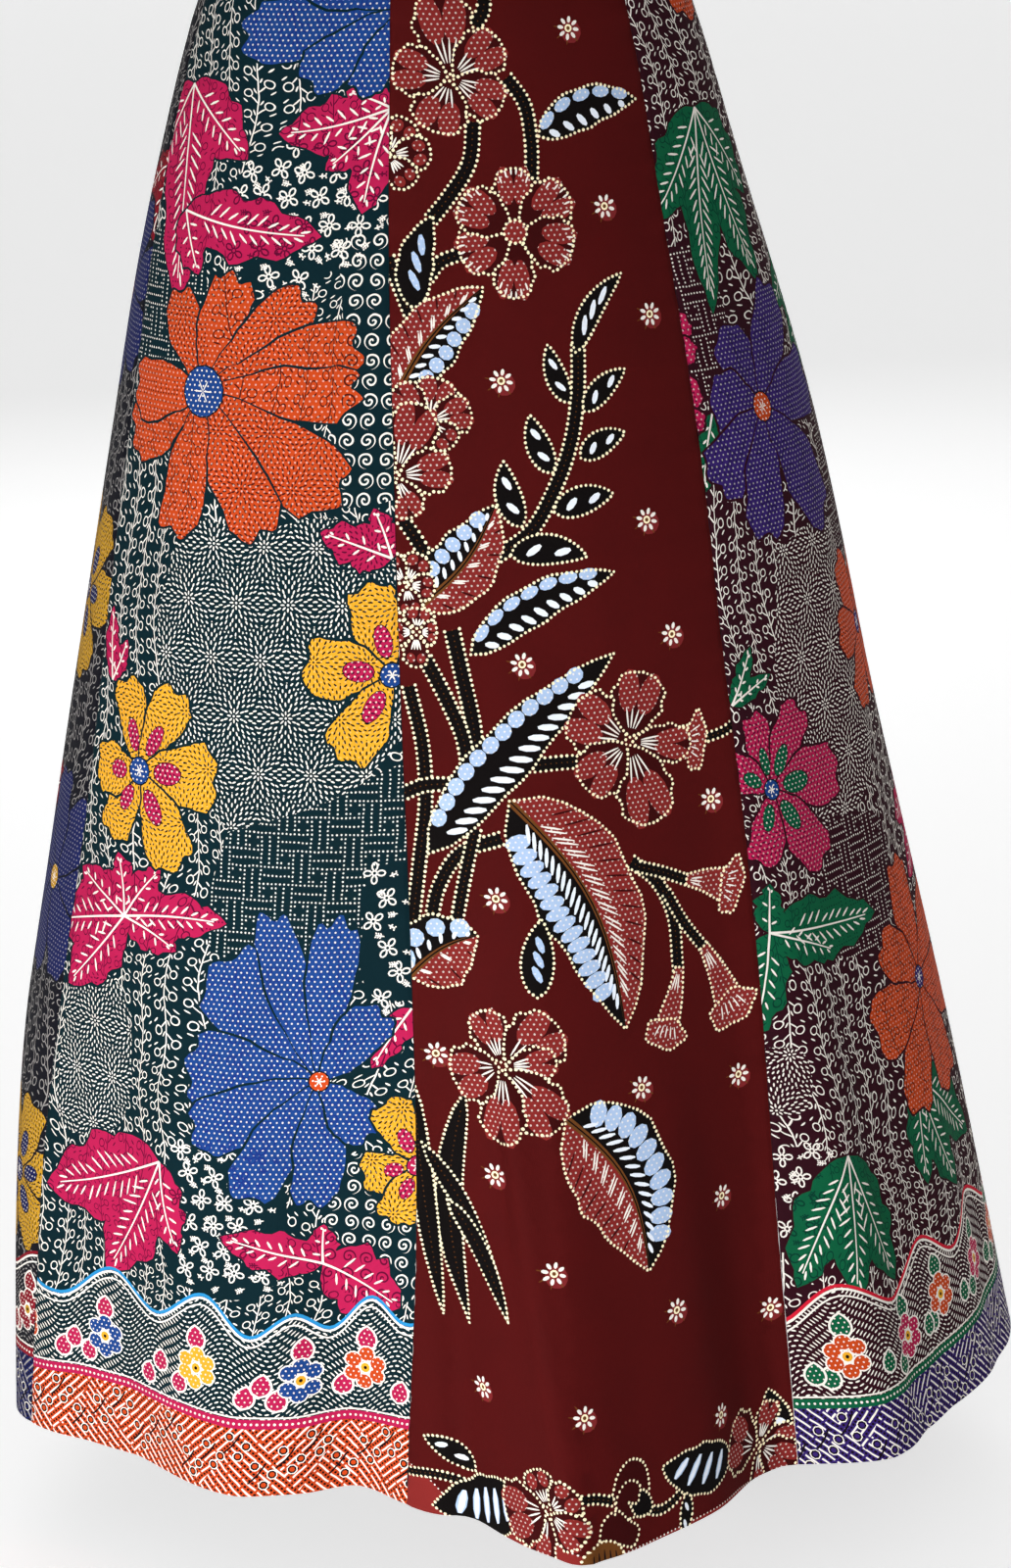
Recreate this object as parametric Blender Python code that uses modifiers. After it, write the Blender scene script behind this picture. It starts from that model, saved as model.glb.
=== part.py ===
"""Long five-gore batik skirt, open at waist and hem, standing out as it does when worn.

Metres, +Z up. The origin is the middle of the waist, at the band's top edge, and the
front faces -Y. Left and right are as seen from in front, so left is -X. A place on the
skirt is given by its angle from centre front, positive to the right, and by its depth
below the waist.
"""
import bmesh
import bpy
import numpy as np
from math import atan2, cos, pi, radians, sin

# Driving sizes
LENGTH = 0.985            # waist to hem
BAND_HEIGHT = 0.035       # finished waistband
CLOTH = 0.0012            # one layer of cotton with its seam turnings
HEM_TURN = 0.025          # hem turned up once on the inside
HEM_STEP = 0.0005         # the turning's upper edge, from one layer to two
BAND_PROUD = 0.0008       # the band's second layer stands out from the gores
SEAM_GAP = 0.0003         # between neighbouring pieces
ZIP_END = 0.205           # depth of the zip's lower end
ZIP_SLOT = 0.0022         # between the cloth edges over the zip
ZIP_CLOSE = 0.012         # length over which the slot closes to a plain seam
TAPE_TOP = 0.003          # depth of the tape's upper end
TAPE_WIDTH = 0.011        # one side of the zip's tape
TAPE_THICK = 0.0009
TAPE_COLUMNS = 3

# Sections from the waist down, each an oval whose middle may lie to one side
SECTIONS = (
    # depth, half_width, front, back, middle
    (0.000, 0.1270, 0.0940, 0.0930, 0.000),
    (0.035, 0.1300, 0.0975, 0.0965, 0.000),
    (0.100, 0.1540, 0.1130, 0.1160, 0.000),
    (0.200, 0.1830, 0.1340, 0.1450, 0.000),
    (0.350, 0.2210, 0.1640, 0.1710, 0.005),
    (0.550, 0.2620, 0.1950, 0.1990, 0.003),
    (0.770, 0.3050, 0.2280, 0.2300, 0.004),
    (0.985, 0.3400, 0.2530, 0.2600, 0.006),
)

# Folds round the hem, ridges and valleys in turn. A fold stands out from the section, or
# in where it is negative, by a share of its radius that grows from its start to the hem.
FOLDS = (
    # angle, stands_out, starts
    (-156, -0.08, 0.45),
    (-133, 0.07, 0.40),
    (-113, -0.07, 0.50),
    (-92, -0.05, 0.75),
    (-72, -0.17, 0.60),
    (-53, -0.11, 0.60),
    (-39, -0.22, 0.60),
    (-21, -0.05, 0.50),
    (-5, 0.25, 0.45),
    (28, -0.03, 0.45),
    (39, 0.10, 0.45),
    (55, 0.03, 0.55),
    (80, 0.03, 0.40),
    (101, -0.08, 0.45),
    (126, 0.08, 0.40),
    (150, -0.09, 0.45),
    (177, 0.07, 0.35),
)
FOLD_ROUNDING = 0.7       # 0 for sharp ridges, 1 for round ones
FOLD_GROWTH = 1.3         # above 1, folds open faster towards the hem

# Seam lines: each seam's angle from centre front at these depths
SEAM_DEPTHS = (0.000, 0.120, 0.350, 0.600, 0.800, 0.985)
SEAMS = {
    "left_front": (-30.5, -29.0, -28.5, -25.5, -25.5, -29.0),
    "right_front": (46.0, 44.0, 37.0, 34.0, 31.0, 30.0),
    "left_side": (-87.0, -87.0, -84.0, -80.0, -84.0, -88.0),
    "right_side": (88.0, 88.0, 87.0, 87.0, 88.0, 90.0),
    "centre_back": (180.0, 180.0, 180.0, 180.0, 180.0, 180.0),
}

# Gores: the seams on either side, how many columns its mesh has, and its cloth
GORES = (
    # name, left_seam, right_seam, columns, cloth
    ("gore_centre_front", "left_front", "right_front", 20, "maroon_batik"),
    ("gore_left_front", "left_side", "left_front", 15, "teal_batik"),
    ("gore_right_front", "right_front", "right_side", 16, "plum_batik"),
    ("gore_left_back", "centre_back", "left_side", 22, "charcoal_batik"),
    ("gore_right_back", "right_side", "centre_back", 22, "charcoal_batik"),
)
HIP_ROWS = 9              # rows of its mesh from the band to the zip's end
SKIRT_ROWS = 16           # and from there to the hem's turning
BAND_ROWS = 4
BAND_COLUMNS = 64

# Ground colours of the cloths, and the zip's finishes: red, green, blue, roughness, metallic
FINISHES = {
    "maroon_batik": (0.085, 0.010, 0.011, 0.80, 0.0),
    "teal_batik": (0.020, 0.060, 0.070, 0.80, 0.0),
    "plum_batik": (0.050, 0.014, 0.030, 0.80, 0.0),
    "charcoal_batik": (0.018, 0.018, 0.024, 0.80, 0.0),
    "maroon_band": (0.080, 0.010, 0.011, 0.80, 0.0),
    "zip_tape": (0.060, 0.010, 0.012, 0.85, 0.0),
    "zip_metal": (0.120, 0.030, 0.030, 0.40, 0.6),
}

# The slider and its pull
SLIDER_DEPTH = 0.0085     # centre of the slider below the waist
SLIDER_HEIGHT = 0.0080
BACK_PLATE = (0.0056, 0.0015)     # width, thickness, behind the tapes
NECK = (0.0015, 0.0050)           # width, height, between the cloth edges
FRONT_PLATE = (0.0044, 0.0010)    # width, thickness, outside the band
ROOT = 0.0003                     # how far its pieces run into each other
CHEEK_THICK = 0.0007              # the two ears that hold the pin
CHEEK_HEIGHT = 0.0024
CHEEK_BEYOND = 0.0010             # past the pin's centre
PIN_OUT = 0.0046                  # pin's centre out from the gore's face
PIN_RADIUS = 0.0006
PIN_CLEARANCE = 0.0003
PULL_EYE_RADIUS = 0.0017
PULL_ROOT = 0.0010                # where the tab starts inside the eye's wall
PULL_LENGTH = 0.0200
PULL_WIDTHS = (0.0020, 0.0046)    # at the eye and at the foot
PULL_THICK = 0.0010


def smooth_table(xs, ys, x):
    """A smooth curve through a table's rows."""
    xs, ys = np.asarray(xs, float), np.asarray(ys, float)
    slopes = np.gradient(ys, xs)
    i = np.clip(np.searchsorted(xs, x, side="right") - 1, 0, len(xs) - 2)
    step = xs[i + 1] - xs[i]
    t = (x - xs[i]) / step
    rise = t * t * (3 - 2 * t)
    return (ys[i] + (ys[i + 1] - ys[i]) * rise
            + step * slopes[i] * t * (1 - t) ** 2 - step * slopes[i + 1] * t * t * (1 - t))


def fold(angle, depth):
    """How far the folds stand out at an angle in radians, as a share of the radius."""
    rows = np.array(FOLDS, float)
    rows = np.vstack([rows[-1] - (360, 0, 0), rows, rows[0] + (360, 0, 0)])
    degrees = (np.degrees(angle) + 180) % 360 - 180
    i = np.clip(np.searchsorted(rows[:, 0], degrees, side="right") - 1, 0, len(rows) - 2)
    t = (degrees - rows[i, 0]) / (rows[i + 1, 0] - rows[i, 0])
    ease = FOLD_ROUNDING * t * t * (3 - 2 * t) + (1 - FOLD_ROUNDING) * t
    stands_out = rows[i, 1] + (rows[i + 1, 1] - rows[i, 1]) * ease
    starts = rows[i, 2] + (rows[i + 1, 2] - rows[i, 2]) * ease
    grown = np.clip((depth - starts) / (LENGTH - starts), 0, 1)
    return stands_out * grown ** FOLD_GROWTH


def face_point(angle, depth):
    """Points on the cloth's outer face."""
    rows = np.array(SECTIONS)
    half_width = smooth_table(rows[:, 0], rows[:, 1], depth)
    front = smooth_table(rows[:, 0], rows[:, 2], depth)
    back = smooth_table(rows[:, 0], rows[:, 3], depth)
    middle = smooth_table(rows[:, 0], rows[:, 4], depth)
    half_depth = np.where(np.cos(angle) > 0, front, back)
    radius = 1 / np.hypot(np.sin(angle) / half_width, np.cos(angle) / half_depth)
    radius = radius * (1 + fold(angle, depth))
    return np.stack([middle + radius * np.sin(angle), -radius * np.cos(angle), -depth], axis=-1)


def cloth_point(angle, depth, out=0.0):
    """Points on the cloth, moved out from its outer face, or in where out is negative."""
    angle, depth, out = np.broadcast_arrays(angle, depth, out)
    small = 1e-4
    across = face_point(angle + small, depth) - face_point(angle - small, depth)
    down = face_point(angle, depth + small) - face_point(angle, depth - small)
    normal = np.cross(down, across)
    normal = normal / np.linalg.norm(normal, axis=-1, keepdims=True)
    return face_point(angle, depth) + normal * out[..., None]


def half_slot(seam, depth):
    """Half the space between two pieces at a seam: wider over the zip."""
    plain = SEAM_GAP / 2
    if seam != "centre_back":
        return np.full_like(depth, plain)
    return np.interp(depth, (ZIP_END, ZIP_END + ZIP_CLOSE), (ZIP_SLOT / 2, plain))


def seam_angle(seam, depth, side):
    """A seam's angle in radians, set back from its line on side -1 (left) or 1 (right)."""
    angle = np.radians(smooth_table(SEAM_DEPTHS, SEAMS[seam], depth))
    if seam == "centre_back" and side > 0:
        angle = angle - 2 * pi
    radius = np.hypot(*face_point(angle, depth)[..., :2].T)
    return angle + side * half_slot(seam, depth) / radius


def finish(name):
    """The named material."""
    material = bpy.data.materials.get(name)
    if material is None:
        red, green, blue, roughness, metallic = FINISHES[name]
        material = bpy.data.materials.new(name)
        material.use_nodes = True
        shader = material.node_tree.nodes["Principled BSDF"]
        shader.inputs["Base Color"].default_value = (red, green, blue, 1)
        shader.inputs["Roughness"].default_value = roughness
        shader.inputs["Metallic"].default_value = metallic
        material.diffuse_color = (red, green, blue, 1)
    return material


def loft_wall(name, outer, inner, cloth):
    """A piece of cloth, closed all round, between two grids of points of the same size."""
    rows, columns = outer.shape[:2]
    mesh = bpy.data.meshes.new(name)
    shell = bmesh.new()
    skins = [[[shell.verts.new(point) for point in row] for row in grid]
             for grid in (outer, inner)]
    for skin, turn in zip(skins, (1, -1)):
        for i in range(rows - 1):
            for j in range(columns - 1):
                corners = (skin[i][j], skin[i + 1][j], skin[i + 1][j + 1], skin[i][j + 1])
                shell.faces.new(corners[::turn])
    ring = ([(0, j) for j in range(columns - 1)] + [(i, columns - 1) for i in range(rows - 1)]
            + [(rows - 1, j) for j in range(columns - 1, 0, -1)]
            + [(i, 0) for i in range(rows - 1, 0, -1)])
    for (i, j), (k, m) in zip(ring, ring[1:] + ring[:1]):
        shell.faces.new((skins[0][i][j], skins[0][k][m], skins[1][k][m], skins[1][i][j]))
    shell.to_mesh(mesh)
    shell.free()
    mesh.materials.append(finish(cloth))
    mesh.shade_smooth()
    mesh.set_sharp_from_angle(angle=radians(50))
    return place(bpy.data.objects.new(name, mesh))


def place(piece, collection="batik_skirt"):
    """Puts a piece in its collection only."""
    group = bpy.data.collections.get(collection)
    if group is None:
        group = bpy.data.collections.new(collection)
        bpy.context.scene.collection.children.link(group)
    for other in piece.users_collection:
        other.objects.unlink(piece)
    group.objects.link(piece)
    return piece


def hip_depths():
    """The rows of a gore's mesh down to the end of the zip."""
    return np.linspace(BAND_HEIGHT + SEAM_GAP, ZIP_END, HIP_ROWS)


def make_gore(name, left_seam, right_seam, columns, cloth):
    """One gore, from under the band to the hem, its hem turned up on the inside."""
    turn = LENGTH - HEM_TURN
    skirt = np.linspace(ZIP_END, turn - HEM_STEP, SKIRT_ROWS)[1:]
    depth = np.concatenate([hip_depths(), skirt, (turn, LENGTH)])
    wall = np.where(depth < turn, CLOTH, 2 * CLOTH)[:, None]
    left = seam_angle(left_seam, depth, 1)
    right = seam_angle(right_seam, depth, -1)
    across = np.linspace(0, 1, columns + 1)
    angle = left[:, None] + (right - left)[:, None] * across
    depth = depth[:, None]
    loft_wall(name, cloth_point(angle, depth), cloth_point(angle, depth, -wall), cloth)


def make_waistband():
    """The band, round from one side of the zip to the other."""
    depth = np.linspace(0, BAND_HEIGHT, BAND_ROWS)
    left = seam_angle("centre_back", depth, 1)
    right = seam_angle("centre_back", depth, -1)
    across = np.linspace(0, 1, BAND_COLUMNS + 1)
    angle = left[:, None] + (right - left)[:, None] * across
    depth = depth[:, None]
    loft_wall("waistband", cloth_point(angle, depth, BAND_PROUD),
              cloth_point(angle, depth, -CLOTH), "maroon_band")


def make_zip_tape(name, side):
    """One side of the zip's tape, inside the band and the back gore, on their rows."""
    band = np.linspace(0, BAND_HEIGHT, BAND_ROWS)
    depth = np.concatenate([[TAPE_TOP], band[1:], hip_depths()[1:]])
    edge = seam_angle("centre_back", depth, side)
    radius = np.hypot(*face_point(edge, depth)[..., :2].T)
    across = np.linspace(0, 1, TAPE_COLUMNS + 1) - (side < 0)
    angle = edge[:, None] + across * (TAPE_WIDTH / radius)[:, None]
    depth = depth[:, None]
    near = -(CLOTH + SEAM_GAP)
    loft_wall(name, cloth_point(angle, depth, near),
              cloth_point(angle, depth, near - TAPE_THICK), "zip_tape")


def block(name, size, centre, bevel=0.0):
    """A block in the slider's own frame: across, out of the cloth, up."""
    bpy.ops.mesh.primitive_cube_add(size=1, location=centre)
    piece = bpy.context.object
    piece.name = name
    piece.scale = size
    bpy.ops.object.transform_apply(location=True, rotation=False, scale=True)
    if bevel:
        rounding = piece.modifiers.new("rounded edges", "BEVEL")
        rounding.width = bevel
        rounding.segments = 2
    return piece


def rod(name, radius, length, centre):
    """A round rod lying across the zip."""
    bpy.ops.mesh.primitive_cylinder_add(vertices=20, radius=radius, depth=length,
                                        location=centre, rotation=(0, pi / 2, 0))
    piece = bpy.context.object
    piece.name = name
    bpy.ops.object.transform_apply(location=True, rotation=True, scale=True)
    return piece


def join_bodies(base, others, operation="UNION"):
    """Joins other shapes to a base, or cuts them from it, and keeps them out of sight."""
    for other in others:
        change = base.modifiers.new(other.name, "BOOLEAN")
        change.operation = operation
        change.object = other
        other.hide_render = True
        other.display_type = "WIRE"
        other.parent = base
        place(other, "cutters")


def slider_frame():
    """The point of the gore's face behind the slider, and how far the band leans there."""
    depths = SLIDER_DEPTH + np.array((-0.001, 0.0, 0.001))
    above, middle, below = cloth_point(np.full(3, pi), depths)
    lean = atan2(below[1] - above[1], above[2] - below[2])
    return tuple(middle), lean


def pin_place():
    """Where the pull's pin is, worked out from the slider's lean."""
    (x, y, z), lean = slider_frame()
    return (x, y + PIN_OUT * cos(lean), z + PIN_OUT * sin(lean))


def make_zip_slider():
    """The slider: a plate behind the tapes, a neck through the slot, and the pin's cheeks."""
    behind = -(CLOTH + 2 * SEAM_GAP + TAPE_THICK)
    in_front = BAND_PROUD + SEAM_GAP
    plate_width, plate_thick = FRONT_PLATE
    slider = block("zip_slider", (BACK_PLATE[0], BACK_PLATE[1], SLIDER_HEIGHT),
                   (0, behind - BACK_PLATE[1] / 2, 0), 0.0004)
    neck_depth = in_front - behind + 2 * ROOT
    shapes = [
        block("slider_neck", (NECK[0], neck_depth, NECK[1]), (0, (in_front + behind) / 2, 0)),
        block("slider_front", (plate_width, plate_thick, SLIDER_HEIGHT - 0.001),
              (0, in_front + plate_thick / 2, 0), 0.0003),
        rod("slider_pin", PIN_RADIUS, plate_width - CHEEK_THICK, (0, PIN_OUT, 0)),
    ]
    cheek_reach = PIN_OUT + CHEEK_BEYOND - in_front
    for side in (-1, 1):
        centre = (side * (plate_width - CHEEK_THICK) / 2, in_front + cheek_reach / 2, 0)
        shapes.append(block(f"slider_cheek_{side}", (CHEEK_THICK, cheek_reach, CHEEK_HEIGHT),
                            centre))
    join_bodies(slider, shapes)
    slider.data.materials.append(finish("zip_metal"))
    slider.location, lean = slider_frame()
    slider.rotation_euler = (lean, 0, 0)
    return place(slider)


def make_zip_pull():
    """The pull: an eye round the pin and a flat drop-shaped tab that hangs from it."""
    top, foot = PULL_WIDTHS
    eye_width = FRONT_PLATE[0] - 2 * CHEEK_THICK - 2 * PIN_CLEARANCE
    pull = rod("zip_pull", PULL_EYE_RADIUS, eye_width, (0, 0, 0))
    outline = [(-top / 2, -PULL_ROOT), (top / 2, -PULL_ROOT)]
    centre = -(PULL_LENGTH - foot / 2)
    for step in range(13):
        turn = -pi * step / 12
        outline.append((foot / 2 * cos(turn), centre + foot / 2 * sin(turn)))
    curve = bpy.data.curves.new("pull_tab", "CURVE")
    curve.dimensions = "2D"
    curve.fill_mode = "BOTH"
    curve.extrude = PULL_THICK / 2
    line = curve.splines.new("POLY")
    line.points.add(len(outline) - 1)
    for point, (x, z) in zip(line.points, outline):
        point.co = (x, z, 0, 1)
    line.use_cyclic_u = True
    flat = place(bpy.data.objects.new("pull_tab_curve", curve))
    flat.rotation_euler = (pi / 2, 0, 0)
    bpy.context.view_layer.update()
    solid = bpy.data.meshes.new_from_object(flat.evaluated_get(
        bpy.context.evaluated_depsgraph_get()))
    solid.transform(flat.matrix_world)
    weld = bmesh.new()
    weld.from_mesh(solid)
    bmesh.ops.remove_doubles(weld, verts=weld.verts, dist=1e-7)
    bmesh.ops.recalc_face_normals(weld, faces=weld.faces)
    weld.to_mesh(solid)
    weld.free()
    bpy.data.objects.remove(flat)
    tab = place(bpy.data.objects.new("pull_tab", solid))
    join_bodies(pull, [tab])
    bore = rod("pull_bore", PIN_RADIUS + PIN_CLEARANCE, 2 * eye_width, (0, 0, 0))
    join_bodies(pull, [bore], "DIFFERENCE")
    pull.data.materials.append(finish("zip_metal"))
    pull.location = pin_place()
    return place(pull)


for leftover in list(bpy.data.objects):
    bpy.data.objects.remove(leftover)
for gore in GORES:
    make_gore(*gore)
make_waistband()
make_zip_tape("zip_tape_left", 1)
make_zip_tape("zip_tape_right", -1)
make_zip_slider()
make_zip_pull()
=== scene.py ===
"""The looks of the long five-gore batik skirt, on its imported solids.

Metres, +Z up, the front facing -Y. A place on the skirt is an angle from centre front,
positive to the right as seen from in front, and a depth below the waist. A place on a gore
laid flat is x, across from its middle, and y, down from the band, in millimetres in the
tables of the print.
"""
import random
from math import atan2, cos, hypot, pi, radians, sin, tau

import bpy
import numpy as np
from mathutils import Matrix, Vector
from mathutils.geometry import delaunay_2d_cdt


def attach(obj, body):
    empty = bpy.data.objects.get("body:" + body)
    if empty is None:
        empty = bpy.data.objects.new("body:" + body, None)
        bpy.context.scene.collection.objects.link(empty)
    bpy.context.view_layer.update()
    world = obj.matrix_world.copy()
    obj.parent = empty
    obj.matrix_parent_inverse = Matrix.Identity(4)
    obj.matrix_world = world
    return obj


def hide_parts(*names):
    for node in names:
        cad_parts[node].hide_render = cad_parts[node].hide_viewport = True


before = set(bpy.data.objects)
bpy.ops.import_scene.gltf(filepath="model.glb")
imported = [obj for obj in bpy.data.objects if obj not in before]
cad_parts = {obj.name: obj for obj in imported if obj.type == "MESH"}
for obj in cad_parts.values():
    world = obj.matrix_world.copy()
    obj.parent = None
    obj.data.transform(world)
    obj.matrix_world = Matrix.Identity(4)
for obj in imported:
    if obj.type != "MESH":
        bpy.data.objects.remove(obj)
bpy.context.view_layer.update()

# The skirt's form, as its solids have it
LENGTH = 0.985
BAND_HEIGHT = 0.035
CLOTH = 0.0012
HEM_TURN = 0.025
BAND_PROUD = 0.0008
SEAM_GAP = 0.0003
ZIP_END = 0.205
ZIP_SLOT = 0.0022
ZIP_CLOSE = 0.012
TAPE_TOP = 0.003
TAPE_WIDTH = 0.011
TAPE_THICK = 0.0009

SECTIONS = np.array((
    # depth, half_width, front, back, middle
    (0.000, 0.1270, 0.0940, 0.0930, 0.000),
    (0.035, 0.1300, 0.0975, 0.0965, 0.000),
    (0.100, 0.1540, 0.1130, 0.1160, 0.000),
    (0.200, 0.1830, 0.1340, 0.1450, 0.000),
    (0.350, 0.2210, 0.1640, 0.1710, 0.005),
    (0.550, 0.2620, 0.1950, 0.1990, 0.003),
    (0.770, 0.3050, 0.2280, 0.2300, 0.004),
    (0.985, 0.3400, 0.2530, 0.2600, 0.006),
))
FOLDS = np.array((
    # angle, stands_out, starts
    (-156, -0.08, 0.45), (-133, 0.07, 0.40), (-113, -0.07, 0.50), (-92, -0.05, 0.75),
    (-72, -0.17, 0.60), (-53, -0.11, 0.60), (-39, -0.22, 0.60), (-21, -0.05, 0.50),
    (-5, 0.25, 0.45), (28, -0.03, 0.45), (39, 0.10, 0.45), (55, 0.03, 0.55),
    (80, 0.03, 0.40), (101, -0.08, 0.45), (126, 0.08, 0.40), (150, -0.09, 0.45),
    (177, 0.07, 0.35),
))
FOLD_ROUNDING = 0.7
FOLD_GROWTH = 1.3
SEAM_DEPTHS = (0.000, 0.120, 0.350, 0.600, 0.800, 0.985)
SEAMS = {
    "left_front": (-30.5, -29.0, -28.5, -25.5, -25.5, -29.0),
    "right_front": (46.0, 44.0, 37.0, 34.0, 31.0, 30.0),
    "left_side": (-87.0, -87.0, -84.0, -80.0, -84.0, -88.0),
    "right_side": (88.0, 88.0, 87.0, 87.0, 88.0, 90.0),
    "centre_back": (180.0, 180.0, 180.0, 180.0, 180.0, 180.0),
}

# Creases in the hanging cloth, ridges where they stand out and troughs where negative
CREASES = (
    # top angle, top depth, foot angle, foot depth, half width, stands out
    (-13, 0.60, -6, 0.99, 0.009, 0.0062), (0, 0.66, 4, 0.99, 0.024, -0.0036),
    (-21, 0.70, -19, 0.99, 0.018, -0.0032), (-13.5, 0.70, -11.5, 0.84, 0.006, -0.0020),
    (14, 0.66, 14, 0.99, 0.020, 0.0026), (23, 0.74, 23, 0.99, 0.018, -0.0022),
    (8, 0.30, 12, 0.55, 0.020, 0.0015), (-8, 0.12, -12, 0.40, 0.022, -0.0014),
    (-45, 0.10, -58, 0.42, 0.018, -0.0020), (-58, 0.16, -66, 0.50, 0.014, 0.0018),
    (-40, 0.50, -38, 0.76, 0.018, 0.0022), (-60, 0.62, -62, 0.90, 0.014, 0.0026),
    (-47, 0.74, -45, 0.99, 0.014, 0.0030), (-80, 0.60, -80, 0.99, 0.015, -0.0024),
    (52, 0.12, 58, 0.40, 0.018, -0.0018), (64, 0.35, 66, 0.70, 0.020, 0.0024),
    (47, 0.60, 47, 0.99, 0.014, -0.0028), (70, 0.72, 69, 0.99, 0.016, -0.0026),
    (35, 0.45, 34, 0.66, 0.014, 0.0014), (96, 0.20, 100, 0.60, 0.020, -0.0022),
    (113, 0.10, 112, 0.45, 0.022, 0.0018), (116, 0.60, 114, 0.99, 0.016, 0.0026),
    (137, 0.55, 138, 0.99, 0.016, -0.0028), (160, 0.25, 161, 0.62, 0.022, -0.0020),
    (168, 0.70, 166, 0.99, 0.015, 0.0026), (-170, 0.30, -168, 0.70, 0.020, 0.0020),
    (-146, 0.55, -145, 0.99, 0.016, 0.0026), (-122, 0.58, -123, 0.99, 0.015, -0.0026),
    (-102, 0.15, -104, 0.52, 0.022, 0.0020), (-150, 0.12, -146, 0.44, 0.022, -0.0016),
    (-165, 0.72, -164, 0.99, 0.014, -0.0024), (-98, 0.60, -99, 0.99, 0.014, 0.0022),
)


def smooth_table(xs, ys, x):
    """A smooth curve through a table's rows."""
    xs, ys = np.asarray(xs, float), np.asarray(ys, float)
    slopes = np.gradient(ys, xs)
    i = np.clip(np.searchsorted(xs, x, side="right") - 1, 0, len(xs) - 2)
    step = xs[i + 1] - xs[i]
    t = (x - xs[i]) / step
    rise = t * t * (3 - 2 * t)
    return (ys[i] + (ys[i + 1] - ys[i]) * rise
            + step * slopes[i] * t * (1 - t) ** 2 - step * slopes[i + 1] * t * t * (1 - t))


def fold(angle, depth):
    """How far the folds stand out, as a share of the radius."""
    rows = np.vstack([FOLDS[-1] - (360, 0, 0), FOLDS, FOLDS[0] + (360, 0, 0)])
    turned = (np.degrees(angle) + 180) % 360 - 180
    i = np.clip(np.searchsorted(rows[:, 0], turned, side="right") - 1, 0, len(rows) - 2)
    t = (turned - rows[i, 0]) / (rows[i + 1, 0] - rows[i, 0])
    ease = FOLD_ROUNDING * t * t * (3 - 2 * t) + (1 - FOLD_ROUNDING) * t
    stands_out = rows[i, 1] + (rows[i + 1, 1] - rows[i, 1]) * ease
    starts = rows[i, 2] + (rows[i + 1, 2] - rows[i, 2]) * ease
    grown = np.clip((depth - starts) / (LENGTH - starts), 0, 1)
    return stands_out * grown ** FOLD_GROWTH


def face_point(angle, depth):
    """Points on the solids' outer face."""
    angle, depth = np.broadcast_arrays(angle, depth)
    half_width, front, back, middle = (smooth_table(SECTIONS[:, 0], SECTIONS[:, k], depth)
                                       for k in (1, 2, 3, 4))
    half_depth = np.where(np.cos(angle) > 0, front, back)
    radius = 1 / np.hypot(np.sin(angle) / half_width, np.cos(angle) / half_depth)
    radius = radius * (1 + fold(angle, depth))
    return np.stack([middle + radius * np.sin(angle), -radius * np.cos(angle), -depth], axis=-1)


def soft_step(x, start, end):
    """From 0 at start to 1 at end, smoothly."""
    t = np.clip((x - start) / (end - start), 0, 1)
    return t * t * (3 - 2 * t)


def unit(vectors):
    """Vectors with their lengths made one."""
    return vectors / np.linalg.norm(vectors, axis=-1, keepdims=True)


def run_lengths(line):
    """How far along a line each of its points is."""
    return np.concatenate([[0], np.cumsum(np.linalg.norm(np.diff(line, axis=0), axis=1))])


def creases(angle, depth):
    """How far the creases stand out."""
    out = np.zeros(np.broadcast(angle, depth).shape)
    radius = np.interp(depth, SECTIONS[:, 0], (SECTIONS[:, 1] + SECTIONS[:, 2]) / 2)
    for top_angle, top, foot_angle, foot, half_width, height in CREASES:
        t = (depth - top) / (foot - top)
        middle = np.radians(top_angle + (foot_angle - top_angle) * np.clip(t, 0, 1))
        away = (angle - middle + pi) % tau - pi
        fade = soft_step(t, 0, 0.45)
        if foot < LENGTH:
            fade = fade * (1 - soft_step(t, 0.55, 1))
        out += height * fade * np.exp(-(away * radius / half_width) ** 2)
    return out


def cloth_point(angle, depth, out=0.0):
    """Points on the cloth with its creases, moved out along its normal."""
    angle, depth, out = np.broadcast_arrays(angle, depth, out)
    small = 1e-4
    across = face_point(angle + small, depth) - face_point(angle - small, depth)
    down = face_point(angle, depth + small) - face_point(angle, depth - small)
    normal = unit(np.cross(down, across))
    return face_point(angle, depth) + normal * (out + creases(angle, depth))[..., None]


def seam_angle(seam, depth, side):
    """A seam's angle, set back from its line on side -1 (left) or 1 (right)."""
    angle = np.radians(smooth_table(SEAM_DEPTHS, SEAMS[seam], depth))
    half_slot = np.full_like(angle, SEAM_GAP / 2)
    if seam == "centre_back":
        half_slot = np.interp(depth, (ZIP_END, ZIP_END + ZIP_CLOSE), (ZIP_SLOT / 2, SEAM_GAP / 2))
        if side > 0:
            angle = angle - tau
    radius = np.linalg.norm(face_point(angle, depth)[..., :2], axis=-1)
    return angle + side * half_slot / radius


# Sizes of the gores' meshes
FLAT_ROWS, FLAT_COLUMNS = 140, 81       # of the chart between the flat gore and the skirt
EDGE_STEP = 0.005                       # points along a gore's edges
OUTER_STEP, INNER_STEP = 0.0075, 0.0078  # points inside its edges
EDGE_LINES = (0.0012, 0.0035)           # lines of points beside its seams
CLOTH_THIN = 0.0009                     # the cloth itself
HEM_THICK = 0.0017                      # two layers with the turning
TURNING_STEP, TURNING_COLUMNS = 0.0012, 60  # where the turning's thickness ends
SEAM_DIP, SEAM_DIP_WIDTH = 0.0007, 0.0016   # how the cloth sinks into its seams
PUCKER, PUCKER_WIDTH, PUCKER_LENGTH = 0.0005, 0.011, 0.017  # and waves beside them


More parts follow.
